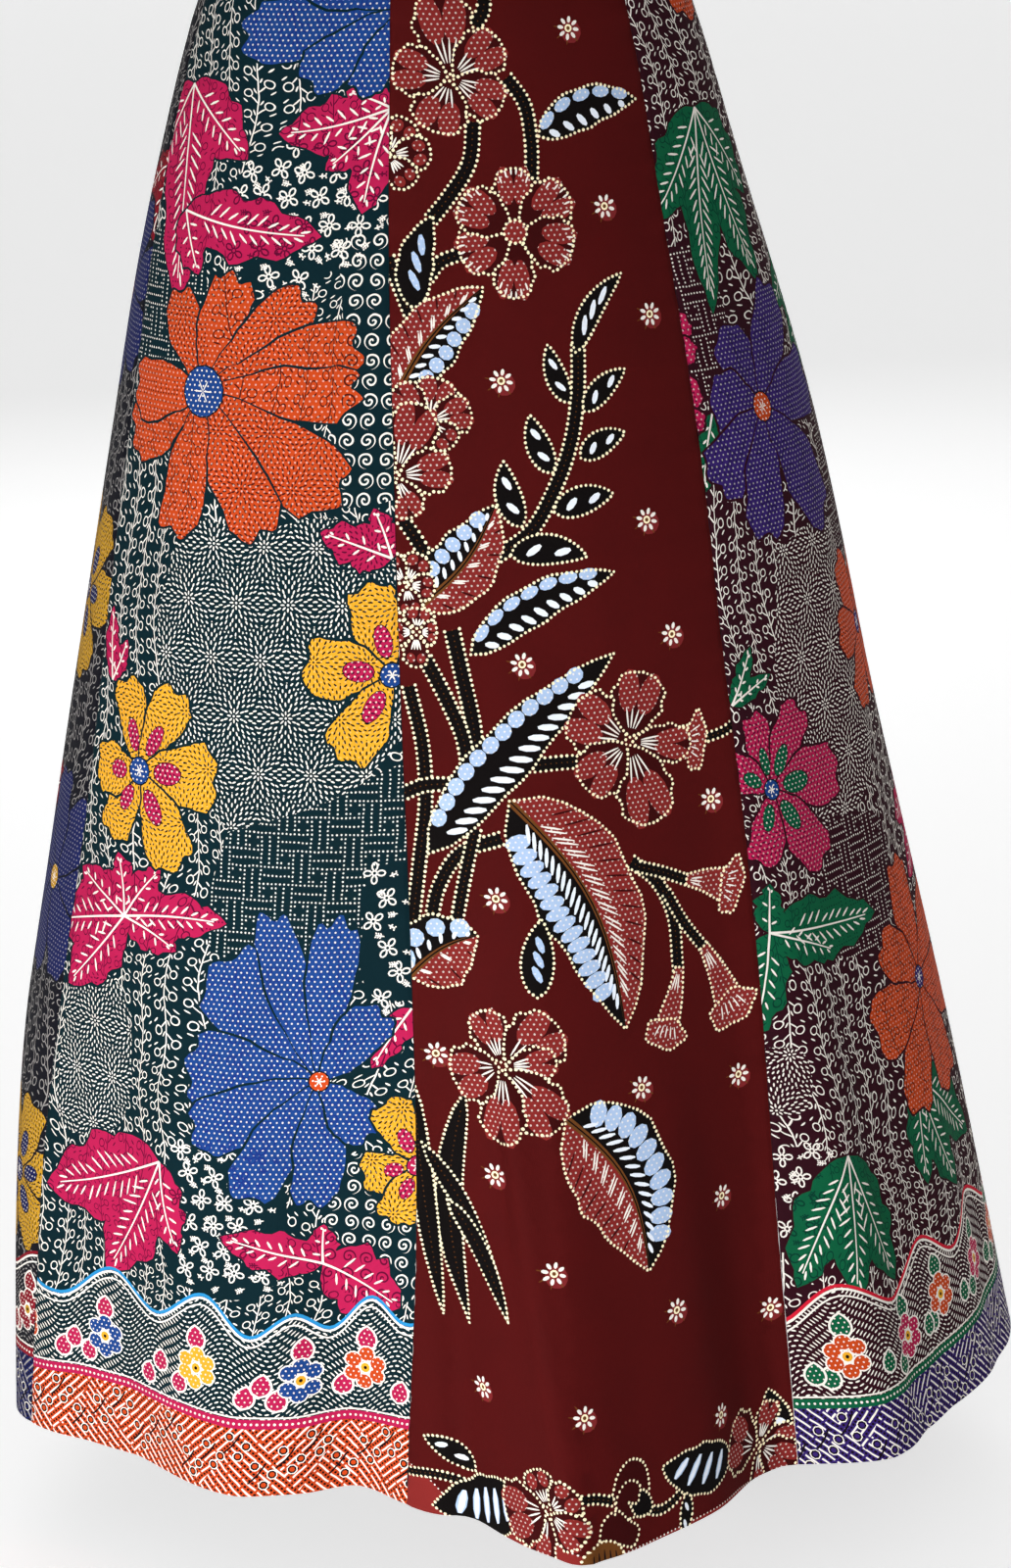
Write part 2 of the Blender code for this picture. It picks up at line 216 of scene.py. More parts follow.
class Gore:
    """One gore: its seams, and the chart between its flat cloth and its place on the skirt."""

    def __init__(self, left_seam, right_seam):
        self.seams = left_seam, right_seam
        self.depths = np.linspace(BAND_HEIGHT + SEAM_GAP, LENGTH, FLAT_ROWS)
        points = face_point(self.angle(np.linspace(0, 1, FLAT_COLUMNS), self.depths[:, None]),
                            self.depths[:, None])
        across = np.array([run_lengths(row) for row in points])
        middle = FLAT_COLUMNS // 2
        self.across = across - across[:, [middle]]
        self.down = run_lengths(points[:, middle])
        self.length = self.down[-1]
        rows = self.across[:, -1] - self.across[:, 0]
        self.width = rows.max()
        self.area = float(((rows[1:] + rows[:-1]) / 2 * np.diff(self.down)).sum())
        ys = np.linspace(0, self.length, int(self.length / EDGE_STEP))
        self.edges = (ys, *self.edge_x(ys))

    def angle(self, share, depth):
        """The angle at a share of the way from the left seam to the right one."""
        left = seam_angle(self.seams[0], depth, 1)
        return left + (seam_angle(self.seams[1], depth, -1) - left) * share

    def edge_x(self, y):
        """Where the gore's two edges are at y."""
        return (np.interp(y, self.down, self.across[:, 0]),
                np.interp(y, self.down, self.across[:, -1]))

    def outline(self):
        """The flat gore's outline, down its left edge and up its right one."""
        ys, left, right = self.edges
        hem = np.linspace(left[-1], right[-1], int(self.width / EDGE_STEP))[1:-1]
        top = np.linspace(right[0], left[0], int((right[0] - left[0]) / EDGE_STEP))[1:-1]
        return np.vstack([np.column_stack([left, ys]),
                          np.column_stack([hem, np.full_like(hem, self.length)]),
                          np.column_stack([right, ys])[::-1],
                          np.column_stack([top, np.zeros_like(top)])])

    def holds(self, spots):
        """Which spots are inside the outline."""
        ys, left, right = self.edges
        x, y = spots.T
        return ((y > 0) & (y < self.length) & (x > np.interp(y, ys, left))
                & (x < np.interp(y, ys, right)))

    def fill_points(self, step):
        """Points inside the outline in staggered rows, with lines of them beside the seams."""
        points = []
        for k, y in enumerate(np.arange(step / 2, self.length - step / 3, step * 0.87)):
            left, right = self.edge_x(y)
            xs = np.arange(left + step * (0.8 + 0.5 * (k % 2)), right - step * 0.6, step)
            points.append(np.column_stack([xs, np.full_like(xs, y)]))
        ys, left, right = (values[1:-1] for values in self.edges)
        for inset in EDGE_LINES:
            points += [np.column_stack([left + inset, ys]), np.column_stack([right - inset, ys])]
        return np.vstack(points)

    def on_skirt(self, flat):
        """The share across and the depth of flat points."""
        depth = np.interp(flat[:, 1], self.down, self.depths)
        i = np.clip(np.searchsorted(self.down, flat[:, 1]) - 1, 0, FLAT_ROWS - 2)
        t = (flat[:, 1] - self.down[i]) / (self.down[i + 1] - self.down[i])
        rows = self.across[i] * (1 - t)[:, None] + self.across[i + 1] * t[:, None]
        j = np.clip((rows < flat[:, [0]]).sum(axis=1) - 1, 0, FLAT_COLUMNS - 2)
        near = np.arange(len(flat))
        part = (flat[:, 0] - rows[near, j]) / (rows[near, j + 1] - rows[near, j])
        return np.clip((j + part) / (FLAT_COLUMNS - 1), 0, 1), depth

    def point(self, share, depth, out=0.0):
        """Points on the sewn gore, a little sunk and puckered along its seams."""
        width = np.interp(depth, self.depths, self.across[:, -1] - self.across[:, 0])
        for edge, seed in ((share * width, 0.0), ((1 - share) * width, 2.0)):
            wave = (np.sin(tau * depth / PUCKER_LENGTH + seed)
                    + np.sin(tau * depth / (PUCKER_LENGTH * 1.7) + 2 * seed + 1))
            out = (out - SEAM_DIP * np.exp(-(edge / SEAM_DIP_WIDTH) ** 2)
                   + PUCKER / 2 * wave * np.exp(-edge / PUCKER_WIDTH))
        return cloth_point(self.angle(share, depth), depth, out)

    def normal(self, share, depth, out=0.0):
        """The outward normals at those points."""
        small = 2e-4
        sides = [self.point(share + s * small / self.width, depth, out) for s in (1, -1)]
        ends = [self.point(share, np.clip(depth + s * small, 0, LENGTH), out) for s in (1, -1)]
        return unit(np.cross(ends[0] - ends[1], sides[0] - sides[1]))


# Dyes, as they look in even light, save the back gores' wax white, greyed with painted shade: red,
# green, blue from 0 to 255
DYES = {
    "maroon": (70, 13, 13), "shade": (52, 9, 10), "brick": (120, 36, 34),
    "cream": (240, 228, 190), "white": (226, 220, 212), "black": (13, 10, 10),
    # the grey in this row is the wax lines' white darkened with painted shade, for the back gores
    # that turn from the light
    "sky": (160, 182, 214), "ice": (218, 224, 234), "ash": (142, 138, 136),
    "brown": (98, 58, 26), "teal": (8, 31, 37), "pink": (166, 26, 72),
    "orange": (182, 64, 24), "blue": (25, 60, 122), "yellow": (214, 154, 38),
    "green": (12, 84, 54), "violet": (50, 32, 98), "plum": (43, 13, 22),
    "red": (190, 30, 50), "azure": (40, 130, 185), "charcoal": (20, 20, 26),
    "mustard": (176, 132, 34), "navy": (26, 32, 78), "wine": (120, 22, 34),
    "ink": (12, 20, 24), "night": (18, 10, 15), "pale_shade": (112, 34, 36),
    "deep_blue": (22, 42, 112), "deep_pink": (84, 8, 42), "deep_green": (6, 52, 40),
    "rust": (74, 20, 14), "deep_violet": (32, 20, 66), "deep_navy": (14, 16, 46),
    "deep_wine": (60, 10, 20),
}
# The dye of the fine lines on a motif of each dye, and how strong its pale dots are
LINE_DYES = {"blue": "deep_blue", "pink": "deep_pink", "green": "deep_green",
             "violet": "deep_violet", "orange": "rust", "yellow": "ink", "mustard": "night",
             "navy": "deep_navy", "wine": "deep_wine"}
DOTS = {"orange": 0.4, "yellow": 0.15, "mustard": 0.15, "pink": 0.45, "blue": 0.75,
        "violet": 0.45, "navy": 0.3}
FILLS = ("plain", "rice", "weave", "hatch", "waves", "vines", "spirals")
MM = 0.001
BEAD_PITCH, BEAD_RADIUS = 3.0, 0.98    # millimetres
WAX_LINE = 1.05                         # the width of a wax line, in millimetres


def dye(name):
    """A dye's colour in linear light."""
    values = np.array(DYES[name]) / 255
    return np.where(values < 0.04045, values / 12.92, ((values + 0.055) / 1.055) ** 2.4)


def turned(points, turn):
    """Flat points turned by an angle in radians."""
    c, s = cos(turn), sin(turn)
    return points @ np.array(((c, s), (-s, c)))


def disc(centre, radius, sides=6, turn=0.0, squash=1.0):
    """A round spot, or an oval one along its turn in radians."""
    angles = np.linspace(0, tau, sides, endpoint=False) + 0.3
    points = np.column_stack([np.cos(angles), np.sin(angles) * squash]) * radius
    return turned(points, turn) + centre


def dash(start, end, width, sides=8):
    """A short rounded stroke."""
    (x0, y0), (x1, y1) = start, end
    half = hypot(x1 - x0, y1 - y0) / 2
    return disc(((x0 + x1) / 2, (y0 + y1) / 2), half, sides, atan2(y1 - y0, x1 - x0),
                width / 2 / max(half, 1e-6))


def smooth_line(points, step=3.0):
    """A smooth line through three or more points, with one every step millimetres."""
    points = np.asarray(points, float)
    lengths = run_lengths(points)
    at = np.linspace(0, lengths[-1], max(2, int(round(lengths[-1] / step)) + 1))
    at = np.minimum(at, lengths[-1] - 1e-9)
    return np.column_stack([smooth_table(lengths, points[:, k], at) for k in (0, 1)])


def left_of(along):
    """The way to the left of a flat way."""
    return np.array((along[1], -along[0]))


def beside(line, offset):
    """A line moved to its left by an offset, one value or one for each point."""
    along = unit(np.gradient(line, axis=0))
    return line + left_of(along.T).T * np.reshape(offset, (-1, 1))


def ribbon(line, width, taper=0.0):
    """The outline of a line with a width, one value or one for each point, and narrower
    towards its end by a share."""
    half = width / 2 * (1 - taper * np.linspace(0, 1, len(line)))
    return np.vstack([beside(line, half), beside(line, -half)[::-1]])


class Lobe:
    """A leaf or petal from foot to tip: its midrib and its left and right edges."""

    def __init__(self, foot, tip, width, bend=0.0, pointed=True, frill=0.0, steps=15):
        foot, tip = np.array(foot, float), np.array(tip, float)
        t = np.linspace(0, 1, steps)
        if not pointed:
            t = np.sin(t * pi / 2) * 0.6 + t * 0.4
        along = tip - foot
        self.length = np.linalg.norm(along)
        left = left_of(along) / self.length
        self.rib = foot + along * t[:, None] + left * bend * np.sin(pi * t)[:, None]
        a, b = (0.62, 0.85) if pointed else (0.75, 0.46)
        peak = a / (a + b)
        half = t ** a * (1 - t) ** b / (peak ** a * (1 - peak) ** b)
        self.half = half * width / 2
        wave = 1 + frill * np.sin(t * pi * 7 + 0.6) * (t > 0.25)
        self.left = beside(self.rib, self.half * wave)
        self.right = beside(self.rib, -self.half * (2 - wave))
        if frill and not pointed:
            self.rib[-1] += along / self.length * frill * width * 0.3

    def ring(self):
        """Its outline."""
        return np.vstack([self.left, self.right[-2:0:-1]])

    def half_ring(self, side):
        """The outline of its left half (side 1) or its right one."""
        return np.vstack([self.left if side > 0 else self.right, self.rib[-2:0:-1]])

    def at(self, t, side):
        """A point at t along the rib and a share of the way to its left (or right) edge."""
        k = t * (len(self.rib) - 1)
        i = min(int(k), len(self.rib) - 2)
        edge = self.left if side > 0 else self.right
        rib = self.rib[i] + (self.rib[i + 1] - self.rib[i]) * (k - i)
        rim = edge[i] + (edge[i + 1] - edge[i]) * (k - i)
        return rib + (rim - rib) * abs(side)


def covers(ring, spots):
    """Which spots are inside a ring, also where the ring crosses itself."""
    x0, y0 = ring.T
    x1, y1 = np.roll(ring, -1, axis=0).T
    turns = np.zeros(len(spots), int)
    block = max(1, 4000000 // len(ring))
    for first in range(0, len(spots), block):
        x, y = spots[first:first + block, :1], spots[first:first + block, 1:]
        side = (x1 - x0) * (y - y0) - (x - x0) * (y1 - y0)
        rising = ((y0 <= y) & (y1 > y) & (side > 0)).sum(axis=1)
        falling = ((y0 > y) & (y1 <= y) & (side < 0)).sum(axis=1)
        turns[first:first + block] = rising - falling
    return turns != 0


class Spots:
    """Spots sorted into rows of cells, to find those inside a ring quickly."""

    def __init__(self, spots, cell=0.006):
        self.low, self.cell = spots.min(axis=0), cell
        cells = ((spots - self.low) / cell).astype(int)
        self.columns = cells[:, 0].max() + 1
        keys = cells[:, 1] * self.columns + cells[:, 0]
        self.order = np.argsort(keys, kind="stable")
        self.spots, self.keys = spots[self.order], keys[self.order]

    def inside(self, ring):
        low = np.maximum((ring.min(axis=0) - self.low) // self.cell, 0).astype(int)
        high = ((ring.max(axis=0) - self.low) // self.cell).astype(int)
        if (high < 0).any() or low[0] >= self.columns:
            return np.empty(0, int)
        rows = np.arange(low[1], high[1] + 1) * self.columns
        starts = np.searchsorted(self.keys, rows + low[0])
        ends = np.searchsorted(self.keys, rows + min(high[0], self.columns - 1), side="right")
        near = np.concatenate([np.arange(a, b) for a, b in zip(starts, ends)])
        return self.order[near[covers(ring, self.spots[near])]]


class Print:
    """A gore's print laid out flat: dyed areas in the order they are drawn, and wax lines that
    take the line colour of the area under them."""

    def __init__(self, gore, ground, seed, line="white", fill="plain"):
        self.gore = gore
        self.chance = random.Random(seed)
        self.points = [gore.outline()]
        self.styles = [(ground, line, fill, 0.0, False)]
        self.ground, self.wax = ground, line

    def area(self, points, ink, line=None, fill="plain", dots=0.0, over=True):
        """A dyed area; over hides the wax lines under it, and a fill "through" is that of the
        area under it."""
        self.points.append(np.asarray(points, float) * MM)
        self.styles.append((ink, line or self.wax, fill, dots, over))

    def line(self, points):
        """A wax line's outline."""
        self.points.append(np.asarray(points, float) * MM)
        self.styles.append(None)

    def stroke(self, start, end, width, ink="white", sides=8):
        """A short rounded stroke of a dye."""
        self.area(dash(start, end, width, sides), ink)

    def beads(self, line, closed=True, ink="cream", radius=BEAD_RADIUS, pitch=BEAD_PITCH):
        """Wax beads along a line."""
        line = np.vstack([line, line[:1]]) if closed else np.asarray(line)
        lengths = run_lengths(line)
        count = max(3, int(round(lengths[-1] / pitch)))
        at = np.linspace(0, lengths[-1], count, endpoint=not closed)
        for x, y in zip(np.interp(at, lengths, line[:, 0]), np.interp(at, lengths, line[:, 1])):
            self.area(disc((x, y), radius * self.chance.uniform(0.85, 1.12)), ink)

    def specks(self, line):
        """Faint brown specks along the middle of a black motif."""
        self.beads(line, closed=False, ink="brown", radius=0.4, pitch=3.2)

    def cut(self):
        """The print as triangles: flat points, triangles, and the areas that give each one its
        dye and its fill."""
        points, edges, count = [], [], 0
        for ring in self.points:
            numbers = np.arange(count, count + len(ring))
            edges.append(np.column_stack([numbers, np.roll(numbers, -1)]))
            points.append(ring)
            count += len(ring)
        points.append(self.gore.fill_points(OUTER_STEP))
        verts, _, triangles, *_ = delaunay_2d_cdt(
            [tuple(point) for point in np.vstack(points)], np.vstack(edges).tolist(), [], 0, 1e-7,
            False)
        flat, triangles = np.array([tuple(v) for v in verts]), np.array(triangles)
        middles = flat[triangles].mean(axis=1)
        in_gore = self.gore.holds(middles)
        spots = Spots(middles)
        ranks, filled = np.zeros((2, len(triangles)), int)
        lined = np.zeros(len(triangles), bool)
        for rank, (ring, style) in enumerate(zip(self.points[1:], self.styles[1:]), 1):
            found = spots.inside(ring)
            if style is None:
                lined[found] = True
            else:
                ranks[found] = rank
                if style[2] != "through":
                    filled[found] = rank
        used, kept = np.unique(triangles[in_gore], return_inverse=True)
        return flat[used], kept.reshape(-1, 3), ranks[in_gore], filled[in_gore], lined[in_gore]


def edge_loop(triangles):
    """The ring of points round a sheet of triangles, in order."""
    edges = np.vstack([triangles[:, [0, 1]], triangles[:, [1, 2]], triangles[:, [2, 0]]])
    size = triangles.max() + 1
    rim = edges[~np.isin(edges[:, 0] * size + edges[:, 1], edges[:, 1] * size + edges[:, 0])]
    after = dict(rim.tolist())
    loop = [int(rim[0, 0])]
    while after[loop[-1]] != loop[0] and len(loop) < len(after):
        loop.append(after[loop[-1]])
    return np.array(loop)


def mesh_of(name, points, faces, finish):
    """A smooth mesh in one finish."""
    mesh = bpy.data.meshes.new(name)
    mesh.from_pydata(points.tolist(), [], faces)
    mesh.shade_smooth()
    mesh.materials.append(finish)
    return mesh


def deselect():
    """Leaves no object selected."""
    for other in bpy.context.selected_objects:
        other.select_set(False)


def turn_out(piece):
    """Points a closed piece's faces outwards."""
    deselect()
    bpy.context.view_layer.objects.active = piece
    piece.select_set(True)
    bpy.ops.object.mode_set(mode="EDIT")
    bpy.ops.mesh.select_all(action="SELECT")
    bpy.ops.mesh.normals_make_consistent(inside=False)
    bpy.ops.object.mode_set(mode="OBJECT")
    piece.select_set(False)


def put_on(name, mesh, node=None, turning=True):
    """A mesh as a piece of the skirt, with its faces turned outwards."""
    piece = bpy.data.objects.new(name, mesh)
    bpy.context.scene.collection.objects.link(piece)
    if turning:
        turn_out(piece)
    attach(piece, "skirt")
    if node:
        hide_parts(node)
    return piece


def sew_gore(name, node, gore, cloth, finish):
    """The gore as a closed shell: the printed face, the plain back and the rims."""
    flat, outer, ranks, filled, lined = cloth.cut()
    loop = edge_loop(outer)
    ring = flat[loop]
    inside = gore.fill_points(INNER_STEP)
    turn = gore.down[-1] - HEM_TURN
    xs = np.linspace(*gore.edge_x(turn), TURNING_COLUMNS)[1:-1]
    inside = np.vstack([inside] + [np.column_stack([xs, np.full_like(xs, turn + step)])
                                   for step in (0, TURNING_STEP)])
    verts, _, inner, came_from, _, owners = delaunay_2d_cdt(
        [tuple(p) for p in np.vstack([ring, inside])], [], [list(range(len(ring)))], 1, 1e-9, True)
    inner = np.array([t for t, owner in zip(inner, owners) if 0 in owner])
    inner_flat = np.array([tuple(v) for v in verts])
    place = {source: k for k, sources in enumerate(came_from) for source in sources}
    inner_loop = np.array([place[k] for k in range(len(ring))]) + len(flat)

    share, depth = gore.on_skirt(flat)
    back_share, back_depth = gore.on_skirt(inner_flat)
    back = -np.where(back_depth > LENGTH - HEM_TURN, HEM_THICK, CLOTH_THIN)
    points = np.vstack([gore.point(share, depth), gore.point(back_share, back_depth, back)])
    normals = np.vstack([gore.normal(share, depth),
                         -gore.normal(back_share, back_depth, -CLOTH_THIN)])
    sample = outer[:200]
    corners = points[sample]
    facing = np.cross(corners[:, 1] - corners[:, 0], corners[:, 2] - corners[:, 0])
    if (facing * normals[sample[:, 0]]).sum() < 0:
        outer = outer[:, ::-1]
    else:
        inner = inner[:, ::-1]
    after, inner_after = np.roll(loop, -1), np.roll(inner_loop, -1)
    rims = np.vstack([np.column_stack([loop, after, inner_after]),
                      np.column_stack([loop, inner_after, inner_loop])])
    if ((outer == loop[0]) & (np.roll(outer, -1, axis=1) == loop[1])).any():
        rims = rims[:, ::-1]
    faces = np.vstack([outer, inner + len(flat), rims])
    mesh = mesh_of(name, points, faces.tolist(), finish)
    mesh.validate()
    chart = np.vstack([flat, inner_flat])
    corner_points = np.empty(len(mesh.loops), int)
    mesh.loops.foreach_get("vertex_index", corner_points)
    mesh.uv_layers.new(name="flat").data.foreach_set("uv", chart[corner_points].ravel())
    # the chart for baked pictures has the printed face on its left and the back on its right
    spread = chart[corner_points] * 0.98 / max(2 * gore.width + 0.02, gore.length)
    on_back = corner_points >= len(flat)
    spread[:, 0] += 0.25 + 0.5 * on_back
    spread[:, 1] = 0.99 - spread[:, 1]
    mesh.uv_layers.new(name="OFBake").data.foreach_set("uv", spread.ravel())
    mesh.uv_layers.active = mesh.uv_layers["flat"]

    styles = [style or cloth.styles[0] for style in cloth.styles]
    dyed = {colour: dye(colour) for style in styles for colour in style[:2]}
    inks, lines = (np.array([dyed[style[k]] for style in styles]) for k in (0, 1))
    fills = np.array([FILLS.index(style[2]) if style[2] in FILLS else 0 for style in styles])
    dots = np.array([style[3] for style in styles])
    waxed = lined & ~np.array([style[4] for style in styles])[ranks]
    ink, line = np.zeros((2, len(faces), 4))
    fill = np.zeros(len(faces))
    ink[:, :3] = dyed[cloth.ground] * 1.5 + 0.01
    ink[:len(ranks), :3] = np.where(waxed[:, None], lines[ranks], inks[ranks])
    ink[:len(ranks), 3] = np.where(waxed, 0, dots[ranks])
    line[:, :3] = dyed[cloth.ground]
    line[:len(ranks), :3] = lines[ranks]
    fill[:len(ranks)] = np.where(waxed, 0, fills[filled])
    for attribute, kind, values in (("ink", "FLOAT_COLOR", ink), ("line", "FLOAT_COLOR", line)):
        mesh.attributes.new(attribute, kind, "FACE").data.foreach_set("color", values.ravel())
    mesh.attributes.new("fill", "FLOAT", "FACE").data.foreach_set("value", fill)
    mesh.normals_split_custom_set_from_vertices(normals.tolist())
    piece = put_on(name, mesh, node, turning=False)
    round(gore.area, 4)
    print(name, len(mesh.polygons), "faces")


# Motifs. Positions and sizes are in millimetres on the flat gore.

def draw_stem(cloth, width, points):
    """A black stem with beads along both edges and faint specks inside."""
    line = smooth_line(points)
    cloth.area(ribbon(line, width), "black")
    for side in (-1, 1):
        cloth.beads(beside(line, side * width / 2), closed=False)
    cloth.specks(line)


def draw_strokes(cloth, lobe, side, last, count, reach, width, root=0.12):
    """A row of short strokes from the rib towards one edge, leaning to the tip."""
    for t in np.linspace(0.1, last, count):
        cloth.stroke(lobe.at(t, side * root), lobe.at(min(t + 0.06, 0.97), side * reach), width,
                     "ice")


def draw_dark_half(cloth, lobe, side, broad):
    """The dark half of a leaf: sky-blue pads along its edge and pale strokes by the rib."""
    cloth.area(lobe.half_ring(side), "black")
    pads = max(3, int(lobe.length / (11 if broad else 13)))
    for t in np.linspace(0.13, 0.84, pads):
        k = 0.4 / pads
        pad = dash(lobe.at(t - k, side * 0.64), lobe.at(t + k * 0.95, side * 0.68),
                   lobe.half.max() * (0.5 if broad else 0.58), sides=10)
        cloth.area(pad, "sky", dots=0.9)
    if broad:
        draw_strokes(cloth, lobe, side, 0.86, int(pads * 1.5), 0.4, 2.5)


def draw_leaf(cloth, x0, y0, x1, y1, width, bend, kind):
    """A leaf of the flowering branch."""
    lobe = Lobe((x0, y0), (x1, y1), width, bend, frill=0.06 if width > 20 else 0,
                steps=12 if kind == "blade" else 15)
    if kind == "bud":
        return draw_bud(cloth, lobe, width)
    brick_side = {"double": 1, "double_left": -1}.get(kind)
    for side in (-1, 1):
        if side == brick_side:
            cloth.area(lobe.half_ring(side), "brick", dots=0.6)
            for t in np.linspace(0.14, 0.8, max(3, int(lobe.length / 13))):
                cloth.stroke(lobe.at(t, side * 0.5), lobe.at(t + 0.05, side * 0.98), 1.3, "shade")
                for t1 in (t, t + 0.022):
                    cloth.stroke(lobe.at(t1, side * 0.1), lobe.at(t1 + 0.07, side * 0.42), 1.2)
        elif brick_side or (kind == "black" and side > 0):
            draw_dark_half(cloth, lobe, side, broad=bool(brick_side))
        else:
            cloth.area(lobe.half_ring(side), "black")
            if kind == "black":
                draw_strokes(cloth, lobe, side, 0.82, max(4, int(lobe.length / 11)), 0.84, 4.0,
                             root=0.14)
    if brick_side:
        cloth.area(ribbon(lobe.rib, 4.5, 0.8), "brown")
        cloth.area(ribbon(lobe.rib, 0.9), "black")
    if kind == "striped":
        for t in np.linspace(0.2, 0.74, max(4, int(lobe.length / 15))):
            for ink, share in (("sky", 1.0), ("ice", 0.62)):
                cloth.stroke(lobe.at(t - 0.05, -0.62), lobe.at(t + 0.07, 0.66),
                             width * 0.17 * share, ink)
    if kind in ("small", "bud_leaf"):
        spacing, ink = (15, "sky") if kind == "bud_leaf" else (17, "ice")
        for t in np.linspace(0.28, 0.66, max(2, int(lobe.length / spacing))):
            cloth.area(dash(lobe.at(t - 0.09, -0.35), lobe.at(t + 0.12, 0.3),
                            min(4.4, lobe.half.max() * 0.5)), ink, dots=0.5)
    if kind == "blade":
        cloth.specks(lobe.rib[1:-2])
    cloth.beads(lobe.ring())


def draw_bud(cloth, lobe, width):
    """A trumpet bud: a tube and its frilled mouth."""
    foot, tip = lobe.rib[0], lobe.rib[-1]
    along = (tip - foot) / lobe.length
    left = left_of(along)
    line = smooth_line([foot, foot + along * lobe.length * 0.35 + left,
                        foot + along * lobe.length * 0.72])
    tube = ribbon(line, width * np.linspace(0.32, 1, len(line)))
    cloth.area(tube, "brick", dots=0.6)
    for lean in (-1, 0, 1):
        start = foot + along * lobe.length * 0.08 + left * lean * width * 0.05
        cloth.stroke(start, start + along * lobe.length * 0.22 + left * lean * width * 0.08, 1.1)
    cloth.beads(tube)
    angles = np.linspace(0, tau, 20, endpoint=False)
    mouth = foot + along * lobe.length * 0.84
    swell = 1 + 0.1 * np.sin(angles * 5)
    ring = (mouth + np.outer(np.cos(angles) * lobe.length * 0.19 * swell, along)
            + np.outer(np.sin(angles) * width * 0.86 * swell, left))
    cloth.area(ring, "brick", dots=0.6)
    for lean in np.linspace(-1, 1, 5):
        start = mouth - along * lobe.length * 0.1 + left * lean * width * 0.3
        cloth.stroke(start, start + along * lobe.length * 0.16 + left * lean * width * 0.16, 1.0)
    cloth.beads(ring)


def draw_bloom(cloth, x, y, heart, petals, kind="throat"):
    """A flower of the branch: brick petals with specks, strokes at throat or rim, and beads."""
    for angle, length, width in petals:
        turn = radians(angle)
        along = np.array((cos(turn), -sin(turn)))
        left = left_of(along)
        foot = np.array((x, y)) + along * heart * 0.5
        lobe = Lobe(foot, foot + along * (length - heart * 0.5), width, pointed=False,
                    frill=0.09, steps=14)
        ring = lobe.ring()
        cloth.area(ring, "shade")
        middle = ring.mean(axis=0)
        for side in (-1, 1):
            aside = left * side * width * 0.2
            if length < 26:
                pad = disc(middle + along * length * 0.12 + aside, width * 0.2, 11,
                           -turn + side * 0.3, 0.85)
            else:
                pad = disc(middle + along * length * 0.1 + aside, length * 0.31, 12,
                           -turn - side * 0.16, width * 0.2 / (length * 0.31))
            cloth.area(pad, "brick", dots=0.6)
        if kind == "rim":
            for t in np.linspace(-0.8, 0.8, 6):
                out = foot + along * length * (0.86 - 0.22 * t * t) + left * t * width * 0.4
                cloth.stroke(out - along * 2.2 - left * t, out + along * 2.2 + left * t, 1.2)
        else:
            for t in (-1, -0.33, 0.33, 1):
                start = foot + along * length * 0.12 + left * t * width * 0.06
                cloth.stroke(start, start + along * length * 0.3 + left * t * width * 0.13, 1.15)
        cloth.beads(ring)
    if kind == "rim":
        cloth.area(disc((x, y), heart, 12), "brick", dots=0.6)
        cloth.beads(disc((x, y), heart, 12))


def draw_star(cloth, x, y):
    """A scattered star: eight white drops round a ring, over a soft brick shadow."""
    size = 7.3
    turn = cloth.chance.uniform(0, tau / 8)
    cloth.area(disc((x + size * 0.22, y + size * 0.3), size * 0.92, 12), "pale_shade")
    for ink, first, last, width in (("brown", 0.8, 1.35, 0.7), ("white", 0.42, 0.98, size * 0.31)):
        for k in range(8):
            angle = turn + k * tau / 8
            if ink == "white" or cos(angle + 0.8) < 0.2:
                start, end = ((x + cos(angle) * size * reach, y + sin(angle) * size * reach)
                              for reach in (first, last))
                cloth.stroke(start, end, width, ink)
    cloth.area(disc((x, y), size * 0.33, 9), "cream")
    cloth.area(disc((x, y), size * 0.17, 7), "brown")


# The maroon front: a flowering branch that rises along the left seam
MAROON_STEMS = (
    # width, then its points
    (7.8, (-17, 48), (-19, 59), (-25, 67)), (7.8, (-9, 98), (0, 112), (3, 133), (1, 163)),
    (8.4, (-31, 122), (-35, 145), (-49, 165), (-60, 177)),
    (7.2, (-65, 211), (-57, 202), (-45, 198)), (7.2, (-87, 198), (-82, 217), (-76, 237)),
    (8.4, (-39, 375), (-19, 363), (-2, 339), (10, 314), (18, 283), (21, 256)),
    (7.8, (-93, 351), (-87, 361), (-81, 373)), (9, (-69, 417), (-65, 444), (-61, 474), (-61, 503)),
    (8.4, (-86, 433), (-75, 459), (-68, 480), (-66, 509)),
    (7.8, (-97, 449), (-92, 484), (-93, 515), (-101, 555), (-110, 596)),
    (7.8, (-27, 500), (-12, 500), (7, 501)), (7.8, (-108, 514), (-95, 509), (-72, 509)),
    (7.8, (-99, 595), (-91, 570), (-77, 551), (-51, 542)),
    (7.2, (-84, 596), (-76, 568), (-66, 536)), (7.8, (29, 565), (44, 578), (54, 597), (57, 636)),
    (6.6, (34, 569), (50, 575), (67, 583)),
    (6.6, (52, 588), (63, 608), (78, 628)), (5.4, (82, 500), (103, 496), (115, 489)),
    (5.4, (-170, 949), (-142, 947), (-124, 953)),
    (5.4, (-38, 936), (-26, 937), (-14, 941)), (5.4, (12, 953), (24, 957), (34, 955), (46, 947)),
    (5.4, (145, 963), (154, 957), (162, 951)),
)
